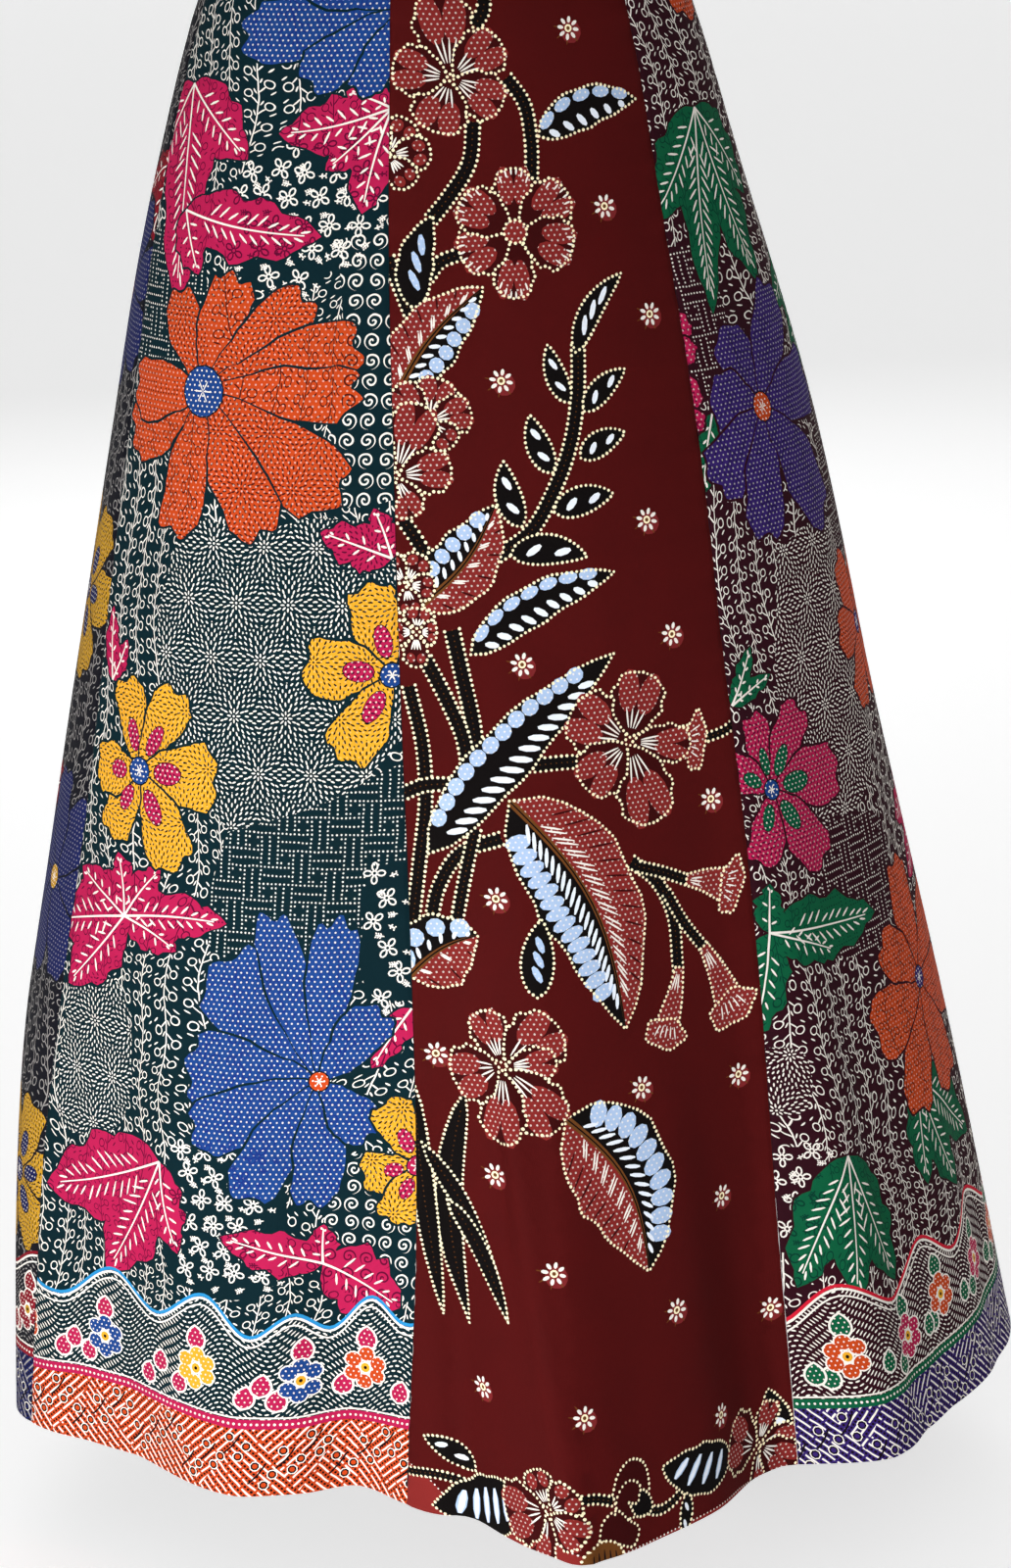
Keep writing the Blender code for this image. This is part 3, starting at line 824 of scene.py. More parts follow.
MAROON_LEAVES = (
    # foot x, foot y, tip x, tip y, width, bend, kind
    (-90, 696, -109, 844, 16, -11, "blade"), (-121, 691, -124, 840, 14, -2, "blade"),
    (-121, 729, -77, 836, 12, 3, "blade"), (-111, 766, -77, 836, 13, 3, "blade"),
    (8, 133, 76, 117, 24, 7, "black"), (-74, 229, -59, 175, 21, 5, "bud_leaf"),
    (-92, 281, -33, 218, 37, 6, "double"), (-87, 402, -38, 345, 39, -6, "double_left"),
    (-59, 432, 32, 391, 24, 8, "black"), (-95, 550, 28, 439, 33, 8, "black"),
    (-44, 520, 16, 664, 64, 16, "double"), (-115, 625, -71, 600, 46, 4, "double_left"),
    (-39, 637, -32, 591, 20, 1, "bud_leaf"), (-28, 710, 22, 812, 66, 14, "double_left"),
    (-79, 944, -152, 968, 36, 5, "striped"), (-120, 941, -150, 922, 15, -2, "small"),
    (89, 945, 26, 932, 31, 5, "striped"), (147, 951, 129, 919, 18, 3, "small"),
    (45, 954, 41, 980, 10, 1, "small"),
    (-31, 375, 15, 380, 18, 4, "small"), (-3, 352, 35, 345, 17, 2, "small"),
    (16, 322, 46, 310, 15, 2, "small"), (21, 295, 50, 273, 14, 2, "small"),
    (-23, 359, -31, 320, 16, 3, "small"), (-2, 329, -13, 294, 15, 2, "small"),
    (12, 289, 2, 254, 13, 2, "small"), (19, 260, 54, 217, 14, 5, "small"),
    (51, 496, 86, 501, 21, 0, "bud"), (67, 583, 105, 594, 21, 0, "bud"),
    (77, 626, 100, 676, 20, 4, "bud"), (58, 635, 42, 680, 18, 2, "bud"),
)
MAROON_BLOOMS = (
    # x, y, heart, petals as angle, length and width, and kind
    (-42, 96, 4, ((92, 49, 35), (33, 37, 29), (-32, 34, 28), (-113, 33, 33), (166, 34, 29))),
    (-82, 139, 3, ((55, 24, 21), (2, 25, 20), (-58, 22, 18), (117, 25, 20), (-169, 16, 15))),
    (-11, 187, 7, ((87, 37, 25), (32, 40, 30), (-20, 37, 31), (-97, 39, 24), (-159, 36, 31),
                   (147, 37, 28)), "rim"),
    (-73, 294, 4, ((69, 26, 26), (11, 26, 23), (-49, 20, 19), (132, 27, 22))),
    (-95, 325, 4, ((65, 45, 29), (5, 33, 26), (-74, 26, 21), (123, 31, 21), (-132, 24, 22))),
    (-94, 389, 3, ((57, 20, 18), (-10, 17, 16), (-84, 19, 15), (127, 20, 18))),
    (-90, 417, 4, ((78, 14, 18), (-5, 12, 15), (-95, 21, 15), (180, 14, 15))),
    (34, 493, 5, ((147, 42, 37), (72, 42, 35), (-11, 43, 23), (-75, 53, 37), (-144, 39, 33))),
    (-63, 678, 5, ((109, 34, 25), (35, 42, 37), (5, 32, 20), (-51, 48, 33), (-98, 48, 30),
                   (-162, 35, 35))),
    (-56, 946, 5, ((113, 25, 25), (38, 24, 24), (-33, 27, 24), (-117, 36, 29), (-163, 39, 39))),
    (124, 954, 4, ((71, 28, 18), (-6, 30, 24), (-81, 33, 20), (155, 38, 38), (-35, 35, 26))),
)
MAROON_STARS = (
    (33, 72), (47, 177), (71, 243), (-28, 273), (56, 363), (68, 433), (-29, 440), (88, 537),
    (-58, 578), (-105, 673), (24, 701), (100, 711), (-77, 746), (86, 784), (-43, 801), (41, 841),
    (127, 866), (-104, 883), (-30, 888), (79, 918), (52, 40), (27, 21),
)


def tip_of(x, y, angle, length):
    """The point at an angle in degrees and a distance from x, y."""
    return x + cos(radians(angle)) * length, y - sin(radians(angle)) * length


def grown(ring, by):
    """A ring a little larger all round."""
    middle = ring.mean(axis=0)
    away = ring - middle
    return middle + away * (1 + by / np.maximum(np.linalg.norm(away, axis=1, keepdims=True), 1))


def petal_ring(chance, foot, tip, width, bend):
    """A blunt petal's outline: narrow at its foot, with a lobed end and a ragged edge."""
    foot, tip = np.array(foot), np.array(tip)
    along, t = tip - foot, np.linspace(0, 0.83, 14)
    left = left_of(along) / np.linalg.norm(along)
    half = width / 2 * np.minimum(1, (t / 0.52) ** 0.62)
    swell = [1 + 0.09 * np.sin(t * chance.uniform(7, 11) + chance.uniform(0, 6)) * (t > 0.2)
             for _ in (0, 1)]
    u = np.linspace(-1, 1, 15)[1:-1]
    lobes = (0.82 + 0.13 * np.sqrt(1 - u * u)
             + 0.036 * np.cos(u * chance.uniform(4.5, 7.0) + chance.uniform(0, 6)))
    across = np.concatenate([half * swell[0], -u * half[-1], -(half * swell[1])[:0:-1]])
    ahead = np.concatenate([t, lobes, t[:0:-1]])
    ragged = [(chance.uniform(-0.5, 0.5), chance.uniform(-0.5, 0.5)) for _ in ahead]
    return (foot + along * ahead[:, None] + left * (across + bend * np.sin(pi * ahead))[:, None]
            + ragged * (ahead > 0.15)[:, None])


def draw_petals(cloth, x, y, petals, ink, fill):
    """Broad ragged petals in a fill, each over the fine print of the ground."""
    for angle, length, width, *own in petals:
        ring = petal_ring(cloth.chance, tip_of(x, y, angle, 2), tip_of(x, y, angle, length),
                          width * 0.92, cloth.chance.uniform(-2, 2))
        cloth.area(grown(ring, 1.7), cloth.ground, cloth.ground, "through")
        cloth.area(ring, ink, LINE_DYES[ink], own[0] if own else fill, DOTS[ink], over=False)


def draw_heart(cloth, x, y, radius, ink):
    """A flower's heart: a dyed spot, a ring of pale dots and a star."""
    cloth.area(disc((x, y), radius + 0.9, 14), "ink")
    cloth.area(disc((x, y), radius, 14), ink, dots=1.0)
    for k in range(6):
        angle = tau * k / 6
        cloth.stroke((x, y), (x + cos(angle) * radius * 0.5, y + sin(angle) * radius * 0.5), 0.9,
                     sides=6)


def draw_flower(cloth, x, y, ink, heart, radius, petals, spots=()):
    """A flower of the flowered cloth; one with oval spots at its petals' feet is filled with
    rice grains, and through another's petals the ground's fill shows."""
    draw_petals(cloth, x, y, petals, ink, "rice" if spots else "through")
    if spots:
        for angle, length, width, *_ in petals:
            if length > 28:
                at = tip_of(x, y, angle, radius + length * 0.24)
                for size, *style in ((1.07, "night", "night", "plain", 0.0),
                                     (1.0, spots, LINE_DYES[spots], "rice", 0.8)):
                    cloth.area(disc(at, length * 0.17 * size, 14, -radians(angle),
                                    width / length * 0.95), *style)
    draw_heart(cloth, x, y, radius, heart)


def draw_fern(cloth, ink, x, y, lobes):
    """A leaf in ragged lobes, each with a white rib and feathered white veins."""
    drawn = []
    for angle, length, width in lobes:
        lobe = Lobe((x, y), tip_of(x, y, angle, length), width, cloth.chance.uniform(-3, 3),
                    frill=0.14, steps=19)
        for edge in (lobe.left, lobe.right):
            edge[3:-2] += [(cloth.chance.uniform(-1, 1), cloth.chance.uniform(-1, 1))
                           for _ in edge[3:-2]]
        cloth.area(grown(lobe.ring(), 1.5), cloth.ground, cloth.ground, "through")
        drawn.append(lobe)
    for lobe in drawn:
        cloth.area(lobe.ring(), ink, LINE_DYES[ink], "through", over=False)
    for lobe in drawn:
        cloth.area(ribbon(lobe.rib[:-2], 1.5, 0.5), "white")
        for t in np.linspace(0.2, 0.84, max(3, int(lobe.length / 9.5))):
            for side in (-1, 1):
                t1 = t + side * 0.02
                reach = 0.52 + cloth.chance.uniform(-0.08, 0.08)
                cloth.stroke(lobe.at(t1, side * 0.14), lobe.at(min(t1 + 0.07, 0.98), side * reach),
                             1.5, sides=6)


def draw_floret(cloth, x, y, turn):
    """An outlined four-petalled floret round a ring of line, its ends a hair apart."""
    angles = np.linspace(0.03, tau - 0.03, 8) + cloth.chance.uniform(0, tau)
    circle = np.column_stack([x + np.cos(angles) * 1.5, y + np.sin(angles) * 1.5])
    cloth.line(ribbon(circle, WAX_LINE))
    size = 6.6
    for k in range(4):
        angle = turn + k * tau / 4
        middle = np.array((x + cos(angle) * size * 0.62, y + sin(angle) * size * 0.62))
        ts = np.linspace(0.35, tau - 0.35, 9)
        across = np.column_stack([-np.cos(ts) * size * 0.36, np.sin(ts) * size * 0.25])
        cloth.line(ribbon(turned(across, angle) + middle, WAX_LINE))


def draw_sprig(cloth, x, y, length, turn, bars=3):
    """A feathered sprig."""
    along, foot = np.array((cos(turn), sin(turn))), np.array((x, y))
    left = left_of(along)
    cloth.line(dash(foot, foot + along * length, 1.2, 6))
    for t in np.linspace(0.35, 0.8, bars):
        for side in (-1, 1):
            start = foot + along * length * t + left * side * 0.6
            cloth.line(dash(start, start + (along + left * side) * length * 0.17, 1.0, 6))


def draw_florets(cloth, zone, keep):
    """Florets on thin stems, with sprigs between."""
    zone = np.array(zone, float)
    low, high = zone.min(axis=0), zone.max(axis=0)
    for row, y in enumerate(np.arange(low[1] + 6, high[1], 15.5)):
        for x in np.arange(low[0] + 6 + (row % 2) * 8.5, high[0], 17.0):
            x1, y1 = x + cloth.chance.uniform(-1.5, 1.5), y + cloth.chance.uniform(-1.5, 1.5)
            spots = np.array(((x1, y1), (x1 + 8, y1 + 7)))
            if covers(zone, spots)[0] and keep(spots).all():
                turn = cloth.chance.uniform(0, tau / 4)
                draw_floret(cloth, x1, y1, turn)
                draw_sprig(cloth, x1 + 7.5, y1 + 9.5, 6.4, turn + 2.4)
                draw_sprig(cloth, x1 + 8.8, y1 + 2.2, 5.4, turn - 0.4, 2)


def draw_border_bud(cloth, scheme, x, y, size, lean=2.0):
    """A small outlined leaf of the border."""
    lobe = Lobe((x, y), (x + lean, y - size), size * 0.84, steps=9)
    cloth.area(grown(lobe.ring(), 1.5), "white")
    cloth.area(lobe.ring(), scheme["leaf_ink"], dots=0.9)


def draw_border(cloth, scheme):
    """The border along the hem: a waved line, a dark band with small flowers, a dotted line and
    the hatched hem."""
    wave, dotted = (smooth_line(scheme[key], 4.0) for key in ("wave", "dotted"))
    foot = cloth.gore.length / MM + 30

    def below(line):
        return np.vstack([line, ((line[-1][0], foot), (line[0][0], foot))])

    cloth.area(below(wave), cloth.ground, fill="waves")
    for drop, width, ink in ((-1.4, 2.2, scheme["wave_ink"]), (0.8, 1.5, "white"),
                             (5.4, 1.1, "white")):
        cloth.area(ribbon(wave + (0, drop), width), ink)
    cloth.area(below(dotted), scheme["hem_ink"], fill="hatch")
    cloth.area(ribbon(dotted + (0, -4.4), 1.1), "white")
    cloth.area(ribbon(dotted, 6.4), scheme["dotted_ink"])
    cloth.beads(smooth_line(dotted, 4.0), closed=False, ink="white", radius=0.95, pitch=3.6)
    for k, x in enumerate(np.arange(dotted[0][0] + 12, dotted[-1][0], 17.0)):
        y = np.interp(x, dotted[:, 0], dotted[:, 1]) + (14, 33, 23)[k % 3]
        stem = smooth_line([(x - 9, y + 7), (x - 3, y + 1), (x + 2, y - 7)], 4.0)
        cloth.area(ribbon(stem, 1.2), "night")
        for spot in ((x - 5, y - 5), (x + 6, y + 1), (x + 1, y + 8)):
            for radius, ink in ((3.5, "white"), (2.8, "night"), (1.7, scheme["hem_ink"])):
                cloth.area(disc(spot, radius, 8), ink)
    for x, y, ink in scheme["border_flowers"]:
        draw_border_bud(cloth, scheme, x, y - 13, 15, cloth.chance.uniform(-2, 2))
        draw_border_bud(cloth, scheme, x - 15, y + 20, 14)
        petals = [tip_of(x, y, 30 + k * 60 + cloth.chance.uniform(-6, 6), 9.6) for k in range(6)]
        for radius, petal_ink, dots in ((6.5, "white", 0.0), (5.4, ink, 0.9)):
            for at in petals:
                cloth.area(disc(at, radius, 11, squash=0.9), petal_ink, dots=dots)
        for radius, sides, spot_ink in ((4.4, 9, "white"), (3.3, 9, scheme["heart_ink"]),
                                        (1.3, 6, "night")):
            cloth.area(disc((x, y), radius, sides), spot_ink)
    for x, y in scheme["border_leaves"]:
        draw_border_bud(cloth, scheme, x, y + 8, 14)


def print_flowered(gore, scheme):
    """A many-coloured gore's print."""
    cloth = Print(gore, scheme["ground"], scheme["seed"], scheme.get("wax", "white"), "vines")
    wave = np.array(scheme["wave"], float)

    def in_gore(points):
        left, right = gore.edge_x(points[:, 1] * MM)
        above = np.interp(points[:, 0], wave[:, 0], wave[:, 1])
        return ((points[:, 0] > left / MM - 3) & (points[:, 0] < right / MM + 3)
                & (points[:, 1] > -3) & (points[:, 1] < above + 6))

    for kind, *zone in scheme["zones"]:
        fill = kind if kind in FILLS else "plain"
        cloth.area(smooth_line(zone + zone[:1], 9.0)[:-1], scheme["ground"], fill=fill, over=False)
    for kind, *zone in scheme["zones"]:
        if kind == "florets":
            draw_florets(cloth, zone, in_gore)
    for x, y, lobes, *own in scheme["ferns"]:
        draw_fern(cloth, *(own or [scheme["leaf_ink"]]), x, y, lobes)
    for flower in scheme["flowers"]:
        draw_flower(cloth, *flower)
    draw_border(cloth, scheme)
    return cloth


TEAL = dict(
    ground="teal", seed=5, hem_ink="orange", wave_ink="azure", dotted_ink="pink",
    leaf_ink="pink", heart_ink="yellow",
    flowers=(
        # x, y, dye, heart, its radius, petals as angle, length, width and fill, then their spots
        (76, 54, "blue", "orange", 8, ((-170, 107, 38), (-142, 73, 31), (-112, 58, 24),
                                       (158, 84, 36), (120, 55, 30), (80, 50, 30), (-60, 40, 24))),
        (-30, 281, "orange", "blue", 15, (
            (116, 66, 30, "rice"), (75, 75, 34), (41, 91, 36, "rice"), (18, 108, 37), (2, 104, 35),
            (-150, 76, 40), (-177, 68, 39, "weave"), (-33, 114, 46, "rice"), (-62, 98, 38, "rice"),
            (-102, 92, 35))),
        (96, 445, "yellow", "blue", 7, ((106, 58, 32), (173, 55, 38),
                                        (-119, 60, 34)), "pink"),
        (-69, 512, "yellow", "blue", 8, (
            (106, 58, 28), (59, 62, 30), (3, 60, 42), (-60, 66, 36),
            (-119, 50, 30), (-175, 42, 34)), "pink"),
        (63, 692, "blue", "orange", 6, (
            (133, 102, 56), (110, 114, 30), (86, 106, 30), (51, 59, 32), (176, 88, 50),
            (-152, 91, 40), (-121, 91, 38), (-89, 84, 34), (-48, 50, 31))),
        (127, 743, "yellow", "pink", 6, ((118, 47, 28), (-167, 36, 27),
                                         (-109, 40, 27)), "pink"),
        (-152, 420, "blue", "yellow", 6, ((60, 40, 24), (0, 36, 24), (-60, 42, 26))),
    ),
    ferns=(
        # x, y, lobes as angle, length and width, and the dye
        (-64, 102, ((-122, 81, 41), (-87, 129, 45), (-38, 68, 36))),
        (-55, 176, ((-7, 97, 38), (-67, 40, 27))),
        (75, 114, ((-168, 68, 33), (-135, 50, 28), (-100, 62, 30), (160, 30, 18))),
        (94, 376, ((160, 46, 26), (112, 32, 18))),
        (-99, 462, ((95, 44, 15), (62, 30, 13))),
        (-76, 602, ((102, 39, 23), (4, 76, 30), (50, 43, 24), (-20, 45, 26), (-134, 74, 37),
                    (153, 49, 28), (-166, 76, 40))),
        (-38, 752, ((-159, 112, 56), (-120, 100, 50), (-75, 60, 28))),
        (72, 811, ((165, 67, 27), (92, 26, 20), (-24, 58, 45))),
        (116, 646, ((-120, 43, 20),)),
    ),
    zones=(
        ("rice", (-40, 352), (10, 360), (53, 352), (96, 362), (100, 486), (60, 522), (0, 540),
         (-25, 514), (-58, 430)),
        ("weave", (-4, 542), (60, 520), (104, 498), (112, 628), (62, 628), (-13, 608)),
        ("weave", (-94, 190), (-50, 190), (-36, 282), (-80, 296), (-104, 250)),
        ("rice", (-128, 655), (-84, 643), (-77, 738), (-126, 751)),
        ("florets", (0, 140), (50, 128), (84, 170), (60, 196), (30, 222), (-16, 205), (-20, 160)),
        ("spirals", (52, 190), (92, 180), (98, 340), (58, 345), (60, 260)),
        ("florets", (-30, 741), (32, 734), (37, 830), (-27, 825)),
        ("spirals", (75, 740), (125, 736), (130, 830), (79, 826)),
        ("florets", (84, 560), (118, 556), (122, 640), (96, 640)),
    ),
    wave=((-190, 850), (-171, 857), (-130, 866), (-82, 838), (-41, 856), (-2, 835), (31, 860),
          (56, 845), (79, 856), (106, 832), (128, 846), (160, 838)),
    dotted=((-190, 926), (-110, 916), (-20, 915), (60, 917), (150, 910)),
    border_flowers=((-164, 893, "orange"), (-90, 886, "blue"), (-6, 884, "yellow"),
                    (63, 888, "blue"), (104, 880, "orange")),
    border_leaves=((-127, 900), (-118, 892), (-50, 898), (-38, 886), (28, 898), (38, 890),
                   (130, 890)),
)

PLUM = dict(
    ground="plum", seed=8, hem_ink="violet", wave_ink="red", dotted_ink="green",
    leaf_ink="green", heart_ink="yellow",
    flowers=(
        (23, 20, "orange", "violet", 8, ((-108, 62, 44), (-150, 52, 36), (160, 40, 30),
                                         (-70, 50, 34), (-20, 60, 36), (60, 40, 30))),
        (-25, 315, "violet", "orange", 9, (
            (112, 58, 36), (56, 87, 42), (5, 84, 46), (174, 48, 50), (-144, 72, 40),
            (-108, 85, 38), (-58, 98, 48))),
        (-84, 544, "pink", "blue", 6, (
            (93, 50, 24), (50, 62, 30), (0, 70, 40), (-58, 66, 36),
            (-115, 50, 28), (148, 42, 27)), "green"),
        (38, 700, "orange", "violet", 7, (
            (92, 84, 40), (-118, 92, 42), (-165, 76, 46), (-70, 88, 44), (30, 80, 46),
            (-20, 84, 46), (140, 60, 36))),
        (-92, 262, "pink", "green", 5, ((30, 22, 18), (-40, 24, 18), (90, 20, 16))),
        (-100, 300, "pink", "green", 5, ((20, 24, 22), (-50, 28, 20), (80, 22, 16))),
        (60, 470, "orange", "violet", 7, ((120, 56, 34), (60, 54, 34), (0, 56, 34), (-60, 56, 34),
                                          (-120, 58, 34), (180, 50, 32))),
    ),
    ferns=(
        (-17, 130, ((-135, 88, 38), (-55, 72, 36), (-78, 115, 42), (-105, 128, 34))),
        (-72, 312, ((-112, 50, 16),)),
        (-101, 488, ((55, 40, 13), (20, 38, 12))),
        (-110, 630, ((75, 31, 20), (-7, 104, 40), (-24, 60, 28), (-112, 68, 30))),
        (5, 757, ((-70, 90, 40), (-40, 100, 44), (-100, 70, 34))),
        (-91, 778, ((-126, 96, 38), (-103, 92, 38), (-75, 95, 42))),
        (82, 236, ((200, 60, 34), (240, 84, 38), (280, 70, 34))),
        (118, 600, ((180, 60, 32), (215, 70, 34), (120, 54, 30)), "pink"),
    ),
    zones=(
        ("weave", (-78, 208), (-50, 213), (-60, 300), (-92, 305)),
        ("rice", (-40, 401), (20, 392), (20, 560), (-40, 585), (-62, 500)),
        ("weave", (-36, 572), (22, 589), (0, 664), (-67, 650)),
        ("rice", (-134, 700), (-107, 706), (-115, 745), (-142, 740)),
        ("weave", (40, 330), (100, 320), (104, 420), (44, 420)),
        ("rice", (60, 100), (78, 120), (100, 230), (60, 240)),
        ("florets", (-150, 764), (-116, 768), (-120, 830), (-158, 830)),
        ("spirals", (88, 500), (128, 500), (134, 600), (92, 600)),
        ("florets", (90, 760), (150, 760), (155, 840), (90, 840)),
    ),
    wave=((-200, 868), (-170, 880), (-123, 858), (-74, 880), (-30, 856), (8, 876), (52, 852),
          (96, 872), (140, 848), (190, 866)),
    dotted=((-200, 931), (-84, 934), (20, 930), (100, 922), (200, 918)),
    border_flowers=((-128, 903, "orange"), (-66, 908, "pink"), (-18, 898, "orange"),
                    (42, 896, "pink"), (98, 894, "orange"), (150, 886, "pink")),
    border_leaves=((-152, 912), (-99, 912), (-40, 910), (12, 906), (70, 902), (124, 898)),
)


MAROON_CURL = (     # the curled loops at the hem's point: ink, closed, then points
    ("shade", True, (-14, 937), (-9, 926), (1, 920), (11, 924), (15, 935), (14, 946), (4, 954),
     (-8, 953)),
    ("shade", True, (-25, 962), (-22, 952), (-12, 947), (-3, 955), (5, 962), (0, 971), (-12, 967)),
    ("shade", False, (-13, 949), (-10, 938), (-2, 932), (7, 936), (9, 944)),
    ("black", True, (-2, 945), (5, 947), (8, 940), (15, 945), (17, 954), (4, 955)),
)
MAROON_STRIP = ((-180, 938), (-156, 947), (-128, 974), (-92, 970), (-45, 966), (-27, 972), (7, 973),
                (41, 972), (95, 972), (136, 972), (158, 960), (190, 950))


def round_petals(count, length, width, turn=0, fill="plain"):
    """Even petals round a flower, each a little different."""
    return tuple((turn + 360 * k / count, length * (0.9 + 0.07 * (k * 5 % 4)),
                  width * (0.94 + 0.05 * (k * 3 % 4)), fill) for k in range(count))


CHARCOAL = dict(
    # the wax lines here are white greyed with painted shade, as these gores turn away from the
    # light
    ground="charcoal", wax="ash", seed=11, hem_ink="navy", wave_ink="wine", dotted_ink="wine",
    leaf_ink="wine", heart_ink="mustard",
    flowers=(
        (42, 62, "navy", "mustard", 8, round_petals(8, 60, 32, 10)),
        (-30, 215, "mustard", "navy", 8, round_petals(6, 62, 38, 30, "rice"), "navy"),
        (112, 236, "navy", "wine", 9, round_petals(7, 66, 36, 20)),
        (150, 420, "mustard", "navy", 8, round_petals(6, 62, 38, 0, "rice"), "navy"),
        (-96, 410, "navy", "wine", 9, round_petals(8, 76, 38, 15)),
        (34, 520, "mustard", "navy", 8, round_petals(7, 68, 38, 20, "rice"), "navy"),
        (196, 600, "navy", "mustard", 8, round_petals(7, 70, 38, 0)),
        (-136, 640, "mustard", "navy", 8, round_petals(6, 64, 38, 40, "rice"), "navy"),
        (72, 732, "navy", "wine", 9, round_petals(8, 80, 40, 5)),
        (214, 800, "mustard", "navy", 8, round_petals(6, 60, 36, 10, "rice"), "navy"),
        (-60, 790, "mustard", "navy", 8, round_petals(6, 58, 36, 25, "rice"), "navy"),
        (-196, 800, "navy", "mustard", 8, round_petals(7, 60, 34, 25)),
    ),
    ferns=(
        (-52, 96, ((200, 50, 28), (250, 66, 34), (300, 60, 30))),
        (78, 330, ((230, 66, 34), (180, 60, 30), (280, 60, 30))),
        (-120, 290, ((100, 50, 28), (40, 56, 30), (150, 40, 26), (-30, 50, 28))),
        (30, 408, ((150, 60, 30), (100, 50, 28), (200, 50, 28))),
        (-40, 640, ((60, 60, 30), (0, 66, 34), (120, 60, 30), (-60, 56, 30))),
        (132, 560, ((90, 50, 28), (20, 56, 30), (-50, 60, 30), (200, 40, 24))),
        (168, 716, ((150, 50, 28), (210, 60, 32), (260, 56, 30))),
        (-176, 520, ((80, 56, 30), (20, 50, 28), (-40, 56, 30))),
        (-130, 760, ((60, 50, 26), (0, 50, 28), (200, 60, 32), (250, 56, 30))),
        (10, 830, ((60, 40, 24), (120, 44, 24), (200, 56, 28))),
        (150, 150, ((210, 46, 26), (270, 50, 28))),
    ),
    zones=(
        ("rice", (-110, 130), (-60, 150), (-66, 260), (-130, 250)),
        ("weave", (20, 290), (60, 280), (70, 400), (10, 400)),
        ("rice", (60, 440), (110, 450), (110, 640), (60, 640)),
        ("weave", (-100, 480), (-20, 500), (-30, 600), (-110, 590)),
        ("rice", (-40, 680), (20, 670), (10, 780), (-60, 760)),
        ("florets", (-20, 290), (20, 300), (0, 420), (-40, 400)),
        ("spirals", (120, 640), (180, 650), (170, 700), (120, 720)),
        ("weave", (120, 740), (180, 730), (180, 840), (110, 840)),
        ("florets", (-200, 660), (-150, 700), (-160, 760), (-210, 740)),
        ("spirals", (-20, 40), (0, 60), (0, 130), (-40, 130)),
    ),
    wave=((-290, 850), (-240, 868), (-185, 846), (-128, 868), (-72, 846), (-14, 868), (44, 846),
          (100, 868), (158, 846), (214, 868), (250, 850), (290, 860)),
    dotted=((-290, 924), (-120, 926), (20, 926), (150, 925), (290, 920)),
    border_flowers=((-200, 894, "mustard"), (-142, 898, "navy"), (-86, 896, "wine"),
                    (-28, 898, "mustard"), (30, 896, "navy"), (88, 898, "wine"),
                    (144, 896, "mustard"), (202, 896, "navy"), (244, 892, "wine")),
    border_leaves=((-170, 906), (-114, 906), (-57, 908), (1, 906), (59, 908), (116, 906),
                   (173, 906), (224, 904)),
)


def mirrored(scheme, seed):
    """The same cloth cut the other way round."""
    def flip(points):
        return tuple((-x, *rest) for x, *rest in points)
    made = dict(scheme, seed=seed)
    made["flowers"] = tuple((-x, y + 12, *rest) for x, y, *rest in scheme["flowers"])
    made["ferns"] = tuple((-x, y + 8, tuple((180 - angle, *size) for angle, *size in lobes))
                          for x, y, lobes in scheme["ferns"])
    made["zones"] = tuple((kind, *flip(zone)) for kind, *zone in scheme["zones"])
    for key in ("wave", "dotted", "border_flowers", "border_leaves"):
        made[key] = flip(scheme[key])[::-1]
    return made


def print_maroon(gore):
    """The centre front's print."""
    cloth = Print(gore, "maroon", seed=3)
    strip = smooth_line(MAROON_STRIP, 6.0)
    cloth.area(np.vstack([strip, ((190, 1010), (-190, 1010))]), "brick", dots=0)
    cloth.beads(strip, closed=False, ink="white", radius=0.6)
    for x, y in MAROON_STARS:
        draw_star(cloth, x, y)
    for width, *points in MAROON_STEMS:
        draw_stem(cloth, width, points)
    for leaf in MAROON_LEAVES:
        draw_leaf(cloth, *leaf)
    for bloom in MAROON_BLOOMS:
        draw_bloom(cloth, *bloom)
    for ink, closed, *points in MAROON_CURL:
        line = smooth_line(points + points[:closed])
        if closed:
            line = line[:-1]
            cloth.area(line, ink)
        cloth.beads(line, closed=closed)
    x, y = -22, 976     # a striped shell hangs from the hem's point
    shell = np.array([(x + 14 * cos(a), y - 13 * sin(a)) for a in np.linspace(-0.2, pi + 0.2, 16)])
    cloth.area(shell, "brown")
    for lean in (-8, -4, 0, 4, 8):
        cloth.stroke((x + lean, y - 9 + abs(lean) * 0.3), (x + lean * 1.1, y + 9), 1.5, "night")
    cloth.beads(shell, closed=False)
    return cloth


# Finishes

class Value:
    """A socket's value in a finish, so that sums of values read as sums."""

    def __init__(self, finish, socket):
        self.finish, self.socket = finish, socket

    def calc(self, operation, *others):
        return self.finish.node("Math", {"operation": operation}, *((self,) + others))

    def __add__(self, other):
        return self.calc("ADD", other)

    def __sub__(self, other):
        return self.calc("SUBTRACT", other)

    def __rsub__(self, other):
        return self.finish.node("Math", {"operation": "SUBTRACT"}, other, self)

    def __mul__(self, other):
        return self.calc("MULTIPLY", other)

    def __truediv__(self, other):
        return self.calc("DIVIDE", other)

    def __lt__(self, other):
        return self.calc("LESS_THAN", other)

    def __gt__(self, other):
        return self.calc("GREATER_THAN", other)


